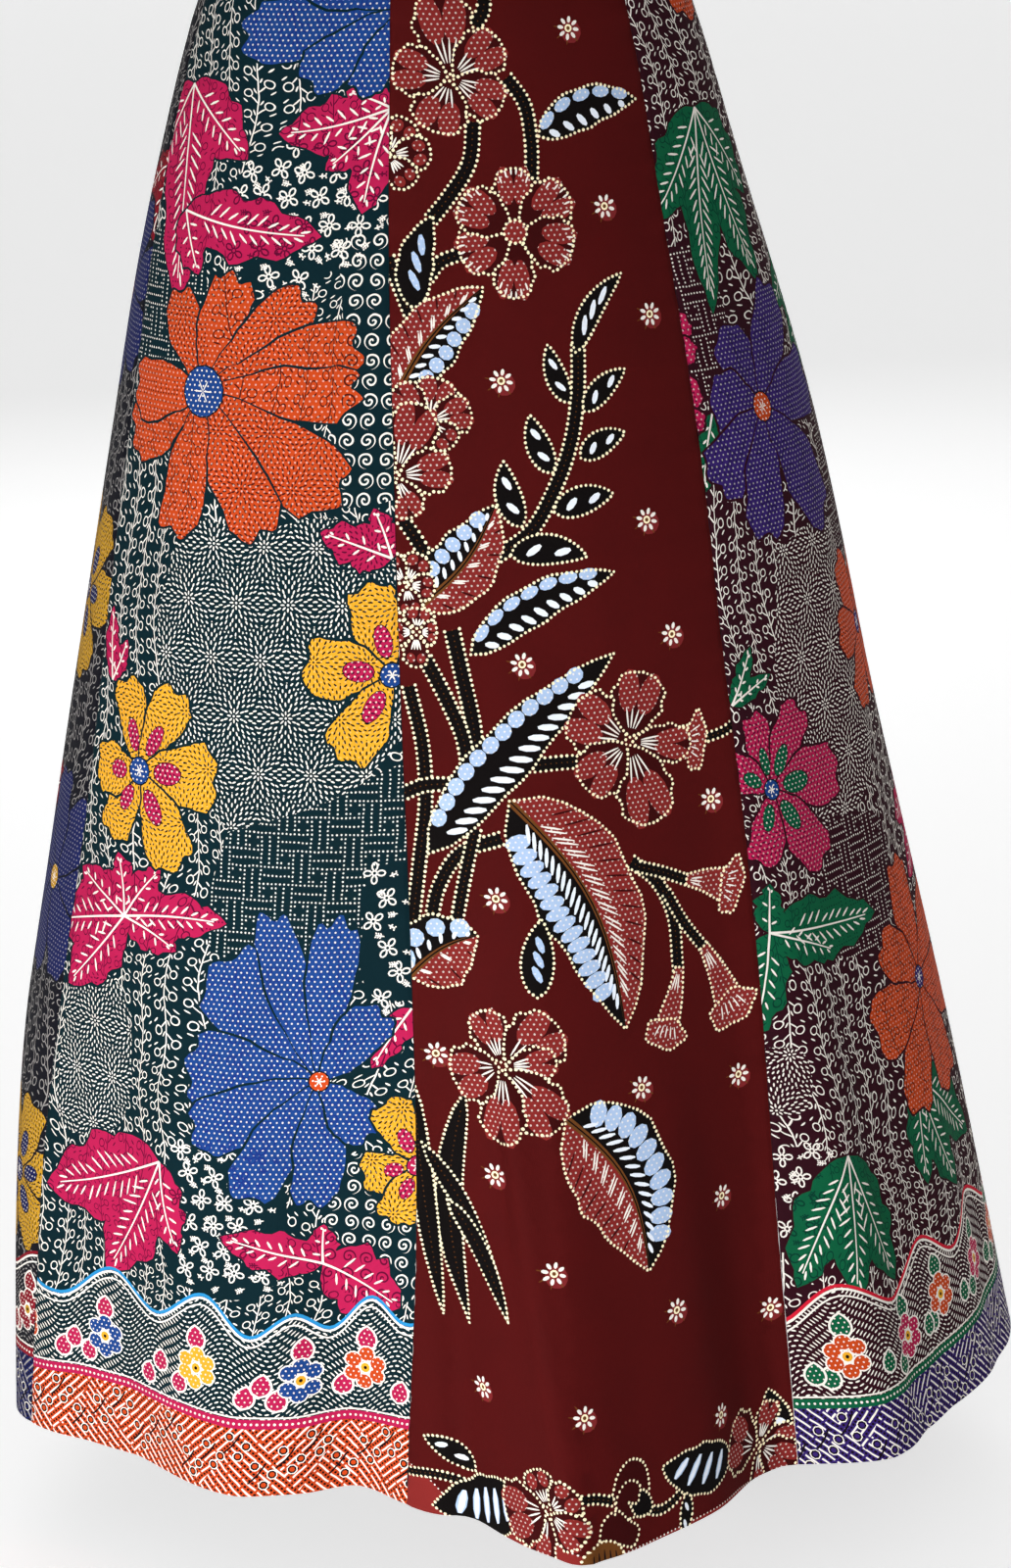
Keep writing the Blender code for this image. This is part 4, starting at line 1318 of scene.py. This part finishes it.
class Finish:
    """A material whose nodes are added one by one."""

    def __init__(self, name, colour=(0.5, 0.5, 0.5), **fixed):
        self.material = bpy.data.materials.new(name)
        self.material.use_nodes = True
        self.material.diffuse_color = (*colour, 1)
        self.nodes = self.material.node_tree.nodes
        self.links = self.material.node_tree.links
        self.shader = self.nodes["Principled BSDF"]
        self.shader.inputs["Base Color"].default_value = (*colour, 1)
        for socket, value in fixed.items():
            self.shader.inputs[socket.replace("_", " ")].default_value = value

    def node(self, kind, settings, *inputs, output=0, **named):
        """Adds a node with its settings and its sockets' values or links."""
        made = self.nodes.new("ShaderNode" + kind)
        for setting, value in settings.items():
            setattr(made, setting, value)
        for key, value in list(enumerate(inputs)) + [(k.replace("_", " "), v)
                                                     for k, v in named.items()]:
            if isinstance(value, Value):
                self.links.new(value.socket, made.inputs[key])
            else:
                made.inputs[key].default_value = value
        return Value(self, made.outputs[output])

    def mix(self, share, first, second):
        """A colour between two."""
        made = self.nodes.new("ShaderNodeMix")
        made.data_type = "RGBA"
        for key, value in (("Factor_Float", share), ("A_Color", first), ("B_Color", second)):
            socket = next(s for s in made.inputs if s.identifier == key)
            if isinstance(value, Value):
                self.links.new(value.socket, socket)
            else:
                socket.default_value = value if key == "Factor_Float" else (*value, 1)
        return Value(self, next(s for s in made.outputs if s.identifier == "Result_Color"))

    def feed(self, socket, value):
        self.links.new(value.socket, self.shader.inputs[socket])

    def noise(self, vector, scale, detail, dimensions="2D", **more):
        return self.node("TexNoise", {"noise_dimensions": dimensions}, Vector=vector, Scale=scale,
                         Detail=detail, **more)

    def attribute(self, name, output):
        return self.node("Attribute", {"attribute_name": name}, output=output)

    def times(self, first, second):
        """Two vectors multiplied part by part."""
        return self.node("VectorMath", {"operation": "MULTIPLY"}, first, second)

    def shaded(self, colour, shade):
        """A colour darker or lighter."""
        return self.times(colour, self.node("CombineXYZ", {}, shade, shade, shade))

    def x_and_y(self, vector):
        made = self.node("SeparateXYZ", {}, vector).socket.node
        return [Value(self, made.outputs[k]) for k in (0, 1)]

    def relief(self, strength, distance, height):
        self.feed("Normal", self.node("Bump", {}, Strength=strength, Distance=distance,
                                      Height=height))


# The fills, each 1 on its wax and 0 on the ground. Their sizes are in millimetres.

def saw(value):
    """From -0.5 to 0.5 within each whole number of a value."""
    return value.calc("FRACT") - 0.5


def oval(along, side):
    """A grain, from offsets as shares of its half length and half width."""
    return (along * along + side * side) < 1


def staggered(x, y, pitch, rise):
    """Offsets from the nearest point of a staggered lattice, and their squared length."""
    (x1, y1), (x2, y2) = ((saw(x / pitch + shift) * pitch, saw(y / rise + shift) * rise)
                          for shift in (0.5, 0))
    d1, d2 = x1 * x1 + y1 * y1, x2 * x2 + y2 * y2
    other = d2 < d1
    return x1 + (x2 - x1) * other, y1 + (y2 - y1) * other, d1 + (d2 - d1) * other


def rice_bursts(x, y):
    """Rice grains in staggered rings round the points of a lattice."""
    ring_step, half_length, width = 5.3, 1.32, 0.53
    across, down, squared = staggered(x, y, 33.0, 67.4)
    distance, turn = squared.calc("SQRT"), down.calc("ARCTAN2", across) / tau
    grains = squared < 0.5
    for first, shift in ((3.1, 0.5), (5.75, 0.0)):
        ring = ((distance - first) / ring_step).calc("ROUND").calc("MAXIMUM", 0)
        count = (ring * 8 + 8).calc("MINIMUM", 24)
        along = (distance - first - ring * ring_step) / half_length
        side = saw(turn * count + shift) * distance / count * (tau / width)
        grains = oval(along, side).calc("MAXIMUM", grains)
    return grains


def basket_weave(x, y):
    """Dotted blocks of two bars, across and down round small holes."""
    unit_size, squared_dot = 10.2, 0.055
    column, row = x / unit_size, y / unit_size
    kind = (column.calc("FLOOR") - row.calc("FLOOR") * 2).calc("FLOORED_MODULO", 5)
    hole, down_top, left, right, down_foot = (kind.calc("COMPARE", float(k), 0.5) for k in range(5))
    fine_x, fine_y = column.calc("FRACT") * 4, row.calc("FRACT") * 4
    dot_x, dot_y = fine_x.calc("ROUND"), fine_y.calc("ROUND")
    dx, dy = fine_x - dot_x, fine_y - dot_y
    odd_x, odd_y = dot_x.calc("MODULO", 2), dot_y.calc("MODULO", 2)
    level = ((left + right) * (1 - odd_y) + (dot_y < 0.5) * (1 - down_foot)
             + (dot_y > 3.5) * (1 - down_top))
    upright = ((down_top + down_foot) * (1 - odd_x) + (dot_x < 0.5) * (1 - right)
               + (dot_x > 3.5) * (1 - left))
    shown = (level + upright + hole * odd_x * odd_y) > 0.5
    return shown * ((dx * dx + dy * dy) < squared_dot)


def spirals(x, y):
    """A lattice of curls that turn one way and the other."""
    pitch, rise, turn_step, half_line, radius = 11.8, 11.6, 3.1, 0.18, 4.9
    column, row = x / pitch, y / rise
    flip = 1 - (column.calc("FLOOR") + row.calc("FLOOR")).calc("FLOORED_MODULO", 2) * 2
    across, down = saw(column) * pitch * flip, saw(row) * rise
    distance = (across * across + down * down).calc("SQRT")
    turn = down.calc("ARCTAN2", across) / tau
    line = saw(distance / turn_step - turn).calc("ABSOLUTE") < half_line
    return line * (distance < radius)


def vines(x, y, bend_x, bend_y):
    """Wandering stems, each with ringed berries on stalks and grains on both sides."""
    pitch, rise, half_stem = 20.4, 13.0, 0.38
    berry_out, berry_up, berry_radius, half_line = 5.7, 1.3, 2.4, 0.36
    across, down = x + bend_x * 34 - 17, y + bend_y * 20 - 10
    column = across / pitch
    way = 1 - column.calc("FLOOR").calc("FLOORED_MODULO", 2) * 2
    offset = saw(column) * pitch
    out = offset.calc("ABSOLUTE")
    up = saw(down / rise * way + (offset > 0) * 0.5 + column.calc("FLOOR") * 0.37) * rise
    dx, dy = out - berry_out, up - berry_up
    ring = ((dx * dx + dy * dy).calc("SQRT") - berry_radius).calc("ABSOLUTE") < half_line
    drawn = (out < half_stem).calc("MAXIMUM", ring)
    for grain_out, grain_up, lean_x, lean_y, half_length, half_width in (
            (2.1, -2.4, 0.72, 0.69, 3.0, 0.42), (7.4, -3.6, 0.8, 0.6, 1.8, 0.45),
            (1.7, 2.9, 0.45, 0.89, 1.7, 0.45)):
        dx, dy = out - grain_out, up - grain_up
        drawn = drawn.calc("MAXIMUM", oval((dx * lean_x + dy * lean_y) / half_length,
                                           (dx * lean_y - dy * lean_x) / half_width))
    return drawn


def hem_hatch(x, y):
    """Slanting white strokes in triangles that lean one way and the other, and the dark specks
    between them."""
    triangle, top, height = 66.0, 917.0, 48.0
    pitch, length, speck_pitch = 4.7, 13.0, 2.7
    peak = ((x / triangle).calc("FRACT") * 2 - 1).calc("ABSOLUTE")
    lean = (peak > (y - top) / height) * 2 - 1
    across, along = (x * 0.7 + y * lean * 0.72) / pitch, y * 0.72 - x * lean * 0.7
    lengths = (along / length + across.calc("FLOOR") * 0.37).calc("FRACT") < 0.87
    strokes = (saw(across).calc("ABSOLUTE") < 0.13) * lengths
    between = across + 0.5
    side = saw(between) * pitch
    ahead = saw(along / speck_pitch + between.calc("FLOOR") * 0.5) * speck_pitch
    return strokes, (side * side + ahead * ahead * 0.8) < 0.65


def wave_dashes(x, y):
    """Rows of short dashes that follow a scalloped edge."""
    scallop, depth, row_pitch, dash_pitch = 57.0, 8.5, 3.3, 4.4
    level = (y + (x * (tau / scallop)).calc("SINE") * depth) / row_pitch
    return oval(saw(x / dash_pitch + level.calc("FLOOR") * 0.5) * 3.0, saw(level) * 5.6)


def batik_finish(name):
    """Dyed cotton: the print's inks, its fine fills, slight unevenness and the weave."""
    finish = Finish(name, Roughness=0.8, Specular_IOR_Level=0.03)
    flat = finish.node("UVMap", {"uv_map": "flat"})
    drift = finish.noise(flat, 110.0, 1.0, output=1)
    drifted = finish.node("VectorMath", {"operation": "MULTIPLY_ADD"}, drift, (0.0012, 0.0012, 0),
                          flat)
    x, y = (part * 1000 for part in finish.x_and_y(drifted))
    ink, line = (finish.attribute(name, 0) for name in ("ink", "line"))
    dots, fill = finish.attribute("ink", 3), finish.attribute("fill", 2)

    def where(kind):
        return fill.calc("COMPARE", float(FILLS.index(kind)), 0.5)

    wander = finish.noise(flat, 13.0, 0.0, output=1)
    mask = vines(x, y, *finish.x_and_y(wander)) * where("vines")
    strokes, specks = hem_hatch(x, y)
    on_hem = where("hatch")
    for kind, pattern in (("rice", rice_bursts), ("weave", basket_weave), ("waves", wave_dashes),
                          ("spirals", spirals)):
        mask = pattern(x, y) * where(kind) + mask
    colour = finish.mix(strokes * on_hem + mask, ink, line)
    colour = finish.mix(specks * on_hem, colour, tuple(dye("night")))
    *_, squared = staggered(x + 1.4, y + 0.6, 3.7, 6.0)
    colour = finish.mix((squared < 0.36) * dots, colour, tuple(dye("white")))
    mottle = finish.noise(flat, 26.0, 3.0, Roughness=0.6)
    threads = [finish.noise(finish.times(flat, stretch), 1.0, 1.0)
               for stretch in ((2600, 260, 1), (260, 2600, 1))]
    weave = threads[0] + threads[1]
    finish.feed("Base Color", finish.shaded(colour, mottle * 0.22 + weave * 0.10 + 0.79))
    finish.feed("Roughness", mottle * 0.2 + 0.66)
    finish.relief(0.25, 0.0004, weave)
    return finish.material


# The room, and the camera at the photograph's angle
CAMERA_PLACE = (-0.605, -2.426, 0.130)
CAMERA_TURN, CAMERA_PITCH, CAMERA_ROLL = -14.0, 16.08, -2.0
CAMERA_LENS, CAMERA_SHIFT = 93.2, 0.0225
FLOOR_LEVEL = -1.06
BACKDROP_RADIUS, BACKDROP_HEIGHT = 25, 6
LIGHTS = (
    # name, place, size, power, and the point it is turned to
    ("key", (-1.4, -1.7, -0.75), 0.8, 33, (0, 0, -0.9)),
    ("low", (-0.85, -1.25, -1.0), 0.4, 8.5, (0.05, -0.25, -0.88)),
    ("fill", (2.6, -1.6, -0.7), 2.0, 2.2, (0, 0, -0.8)),
    ("back", (0.6, 3.0, 1.0), 2.0, 22, (0, 0, -0.45)),
)


def set_camera():
    """Looks slightly down at the skirt, with the photograph's framing."""
    turn, pitch, roll = radians(CAMERA_TURN), radians(CAMERA_PITCH), radians(CAMERA_ROLL)
    ahead = np.array((-sin(turn) * cos(pitch), cos(turn) * cos(pitch), -sin(pitch)))
    right = np.array((cos(turn), sin(turn), 0.0))
    up = np.cross(right, ahead)
    rows = (cos(roll) * right + sin(roll) * up, -sin(roll) * right + cos(roll) * up, -ahead)
    camera = bpy.data.objects.new("camera", bpy.data.cameras.new("camera"))
    camera.matrix_world = Matrix.Translation(CAMERA_PLACE) @ Matrix(rows).transposed().to_4x4()
    camera.data.lens = CAMERA_LENS
    camera.data.shift_x = CAMERA_SHIFT
    camera.data.clip_start = 0.05
    camera.data.clip_end = 200
    bpy.context.scene.collection.objects.link(camera)
    bpy.context.scene.camera = camera


def set_room():
    """A pale floor and backdrop under soft studio light."""
    deselect()
    bpy.ops.mesh.primitive_plane_add(size=80, location=(0, 0, FLOOR_LEVEL))
    floor = bpy.context.object
    floor.name = "floor"
    bpy.ops.mesh.primitive_cylinder_add(
        vertices=96, radius=BACKDROP_RADIUS, depth=BACKDROP_HEIGHT, end_fill_type="NOTHING",
        location=(0, 0, FLOOR_LEVEL + BACKDROP_HEIGHT / 2))
    backdrop = bpy.context.object
    backdrop.name = "backdrop"
    paint = Finish("pale_floor", (0.86, 0.86, 0.86), Roughness=0.9,
                   Emission_Color=(1.0, 1.0, 1.0, 1.0), Emission_Strength=0.58)
    for stage_piece in (floor, backdrop):
        stage_piece.data.materials.append(paint.material)
    scene = bpy.context.scene
    scene.world = bpy.data.worlds.new("studio")
    scene.world.use_nodes = True
    light_all_round = scene.world.node_tree.nodes["Background"]
    light_all_round.inputs[0].default_value = (1.0, 1.0, 1.0, 1)
    light_all_round.inputs[1].default_value = 0.2
    for name, place, size, power, aim in LIGHTS:
        light = bpy.data.lights.new(name, "AREA")
        light.shape, light.size, light.energy = "SQUARE", size, power
        lamp = bpy.data.objects.new(name, light)
        lamp.location = place
        lamp.rotation_euler = (Vector(place) - Vector(aim)).to_track_quat("Z", "Y").to_euler()
        scene.collection.objects.link(lamp)
    scene.view_settings.view_transform = "Standard"


def loft(name, sections, node, finish):
    """A closed strip through its sections, with a chart along it."""
    count, around = len(sections), len(sections[0])
    points = np.vstack(sections)
    faces = [(i * around + j, i * around + (j + 1) % around,
              (i + 1) * around + (j + 1) % around, (i + 1) * around + j)
             for i in range(count - 1) for j in range(around)]
    faces += [tuple(range(around))[::-1], tuple(range((count - 1) * around, count * around))]
    mesh = mesh_of(name, points, faces, finish)
    along = run_lengths(points.reshape(count, around, 3)[:, 0])
    across = run_lengths(np.vstack([sections[0], sections[0][:1]]))
    chart = []
    for face in faces:
        wraps = len(face) == 4 and any(v % around == around - 1 for v in face)
        chart += [(along[v // around], across[v % around or (around if wraps else 0)])
                  for v in face]
    mesh.uv_layers.new(name="flat").data.foreach_set("uv", np.array(chart).ravel())
    put_on(name, mesh, node)


# The band, the zip's tapes and its coil, and the sewing
BAND_COLUMNS, BAND_ROWS = 220, 9
TAPE_ROWS = 90
COIL_TOP, COIL_FOOT = 0.0142, ZIP_END - 0.006
TOOTH_PITCH, TOOTH_SIZE = 0.0015, (0.0028, 0.0011, 0.0007)
STITCH_PITCH, STITCH_SIZE = 0.0030, (0.0023, 0.0005, 0.0004)


def sew_band(finish):
    """The waistband: a folded strip of the maroon cloth, soft along its edges."""
    half_turn = np.linspace(0, pi, 7)[1:-1]
    middle, half = (BAND_PROUD - CLOTH) / 2, (BAND_PROUD + CLOTH) / 2
    down = np.linspace(half, BAND_HEIGHT - half, BAND_ROWS)
    rise, round_edge = half * np.sin(half_turn), half * np.cos(half_turn)
    outs = np.concatenate([np.full(BAND_ROWS, BAND_PROUD), middle + round_edge,
                           np.full(BAND_ROWS, -CLOTH), middle - round_edge])
    depths = np.concatenate([down, BAND_HEIGHT - half + rise, down[::-1], half - rise])
    left = seam_angle("centre_back", depths, 1)
    right = seam_angle("centre_back", depths, -1)
    sections = []
    for share in np.linspace(0, 1, BAND_COLUMNS):
        angle = left + (right - left) * share
        soft = 0.00018 * np.sin(share * 610 + depths * 90) * (outs > 0)
        sections.append(cloth_point(angle, depths, outs + soft))
    loft("waistband_cloth", sections, "waistband", finish)


def zip_edge(side, depth, inset, out):
    """Points beside the zip's opening, a distance in from its edge."""
    angle = seam_angle("centre_back", depth, side)
    radius = np.linalg.norm(face_point(angle, depth)[..., :2], axis=-1)
    return cloth_point(angle + side * inset / radius, depth, out)


def sew_tapes(finish):
    """The zip's two tapes, woven, a little rounded at their edges."""
    near, far = -(CLOTH + SEAM_GAP), -(CLOTH + SEAM_GAP + TAPE_THICK)
    insets = np.array((0.0, 0.2, 0.5, 0.8, 1.0, 1.0, 0.8, 0.5, 0.2, 0.0)) * TAPE_WIDTH
    outs = np.array([near] * 5 + [far] * 5)
    for name, side in (("tape_left", 1), ("tape_right", -1)):
        sections = [zip_edge(side, np.full(10, depth), insets, outs)
                    for depth in np.linspace(TAPE_TOP, ZIP_END, TAPE_ROWS)]
        loft(name, sections, "zip_" + name, finish)


def modelled_bar(size):
    """One small rounded bar: its points and its faces."""
    deselect()
    bpy.ops.mesh.primitive_cylinder_add(vertices=8, radius=0.5, depth=1, rotation=(0, pi / 2, 0))
    bar = bpy.context.object
    bpy.ops.object.transform_apply(location=False, rotation=True, scale=False)
    rounding = bar.modifiers.new("rounding", "BEVEL")
    rounding.width, rounding.segments, rounding.limit_method = 0.2, 2, "ANGLE"
    bpy.ops.object.modifier_apply(modifier="rounding")
    points = np.array([tuple(v.co) for v in bar.data.vertices]) * size
    faces = [tuple(p.vertices) for p in bar.data.polygons]
    bpy.data.objects.remove(bar)
    return points, faces


def lay_bars(name, size, places, finish):
    """Copies of a small bar: each place gives its middle, the way along it and the way out."""
    points, faces = modelled_bar(size)
    all_points, all_faces = [], []
    for middle, along, out in places:
        along = unit(along)
        aside = unit(np.cross(out, along))
        frame_of_bar = np.array((along, aside, np.cross(along, aside)))
        all_faces += [tuple(v + len(all_points) * len(points) for v in face) for face in faces]
        all_points.append(points @ frame_of_bar + middle)
    put_on(name, mesh_of(name, np.vstack(all_points), all_faces, finish))


def outwards(angle, depth):
    """The way out of the skirt."""
    return cloth_point(angle, depth, 0.001) - cloth_point(angle, depth, 0.0)


def fit_coil(finish):
    """The zip's coil below the slider, its teeth meeting on the middle line."""
    level = -(CLOTH + SEAM_GAP + TAPE_THICK * 0.4)
    depths = np.arange(COIL_TOP, COIL_FOOT, TOOTH_PITCH / 2)
    middles = cloth_point(pi, depths, level)
    outs = outwards(pi, depths)
    places = []
    for first, side in enumerate((-1, 1)):
        across = unit(zip_edge(side, depths, 0.001, level) - middles)
        places += list(zip(middles + across * 0.0008, across, outs))[first::2]
    lay_bars("zip_coil", TOOTH_SIZE, places, finish)


def sew_lines(finish):
    """Rows of stitches along the band and beside the zip."""
    places = []
    proud = BAND_PROUD + 0.0001
    for depth in (BAND_HEIGHT - 0.0022, 0.0026):
        left = float(seam_angle("centre_back", np.array([depth]), 1)[0]) + 0.03
        angles = np.linspace(left, left + tau - 0.06, 4000)
        line = cloth_point(angles, depth, proud)
        lengths = run_lengths(line)
        angles = np.interp(np.arange(0.001, lengths[-1], STITCH_PITCH), lengths, angles)
        spots, ahead = (cloth_point(angles + step, depth, proud) for step in (0, 0.004))
        places += list(zip(spots, ahead - spots, outwards(angles, depth)))
    for side in (-1, 1):
        depths = np.arange(BAND_HEIGHT + 0.004, ZIP_END + 0.002, STITCH_PITCH)
        spots, below = (zip_edge(side, depths + step, 0.0065, 0.0001) for step in (0, 0.001))
        outs = outwards(np.arctan2(spots[:, 0], -spots[:, 1]), depths)
        places += list(zip(spots, below - spots, outs))
    lay_bars("stitches", STITCH_SIZE, places, finish)


def plain_cloth_finish(name, colour, scale):
    """Plain woven cotton or tape on the piece's own chart."""
    finish = Finish(name, colour, Specular_IOR_Level=0.25)
    flat = finish.node("UVMap", {"uv_map": "flat"})
    mottle = finish.noise(flat, 40.0, 3.0)
    threads = finish.node("TexWave", {"wave_type": "BANDS", "bands_direction": "DIAGONAL"},
                          Vector=flat, Scale=scale, Distortion=1.5, Detail=1.0, output=1)
    finish.feed("Base Color", finish.shaded(colour, mottle * 0.3 + threads * 0.16 + 0.76))
    finish.feed("Roughness", mottle * 0.2 + 0.68)
    finish.relief(0.3, 0.0003, threads)
    return finish.material


def painted_metal_finish():
    """The zip's slider and pull: metal painted to match, rubbed bare in scattered patches."""
    finish = Finish("painted_metal", Specular_IOR_Level=0.5, Coat_Roughness=0.25)
    place = finish.node("TexCoord", {}, output=3)
    grain, worn = (finish.noise(place, scale, detail, "3D")
                   for scale, detail in ((900.0, 3.0), (260.0, 2.0)))
    bare = (worn > 0.63) * 0.7
    paint = finish.mix(grain, (0.11, 0.016, 0.018), (0.20, 0.035, 0.035))
    finish.feed("Base Color", finish.mix(bare, paint, (0.55, 0.52, 0.48)))
    finish.feed("Metallic", bare * 1.2 + 0.1)
    finish.feed("Roughness", grain * 0.25 + 0.25)
    finish.relief(0.15, 0.0002, grain)
    return finish.material


def plastic_finish(name, colour):
    """The zip's nylon coil, and the sewing thread."""
    finish = Finish(name, colour, Specular_IOR_Level=0.4)
    place = finish.node("TexCoord", {}, output=3)
    grain = finish.noise(place, 1400.0, 2.0, "3D")
    finish.feed("Base Color", finish.mix(grain, tuple(c * 0.75 for c in colour),
                                         tuple(min(c * 1.3, 1) for c in colour)))
    finish.feed("Roughness", grain * 0.3 + 0.35)
    finish.relief(0.2, 0.0001, grain)
    return finish.material


GORES = (
    # piece, left seam, right seam, slot, and how its print is laid out
    ("left_back", "centre_back", "left_side", "charcoal_batik", CHARCOAL),
    ("right_back", "right_side", "centre_back", "charcoal_batik", mirrored(CHARCOAL, 12)),
    ("centre_front", "left_front", "right_front", "maroon_batik", None),
    ("left_front", "left_side", "left_front", "teal_batik", TEAL),
    ("right_front", "right_front", "right_side", "plum_batik", PLUM),
)

set_camera()
set_room()
batik = batik_finish("batik_cotton")
for piece, left_seam, right_seam, slot, scheme in GORES:
    gore = Gore(left_seam, right_seam)
    cloth = print_flowered(gore, scheme) if scheme else print_maroon(gore)
    sew_gore(piece, "gore_" + piece, gore, cloth, batik)

sew_band(plain_cloth_finish("maroon_cotton", tuple(dye("maroon")), 260.0))
sew_tapes(plain_cloth_finish("tape_weave", (0.060, 0.010, 0.012), 420.0))
fit_coil(plastic_finish("coil_nylon", (0.075, 0.014, 0.016)))
sew_lines(plastic_finish("thread", (0.115, 0.018, 0.018)))
metal = painted_metal_finish()
for node in ("zip_slider", "zip_pull"):
    for material_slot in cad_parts[node].material_slots:
        material_slot.material = metal
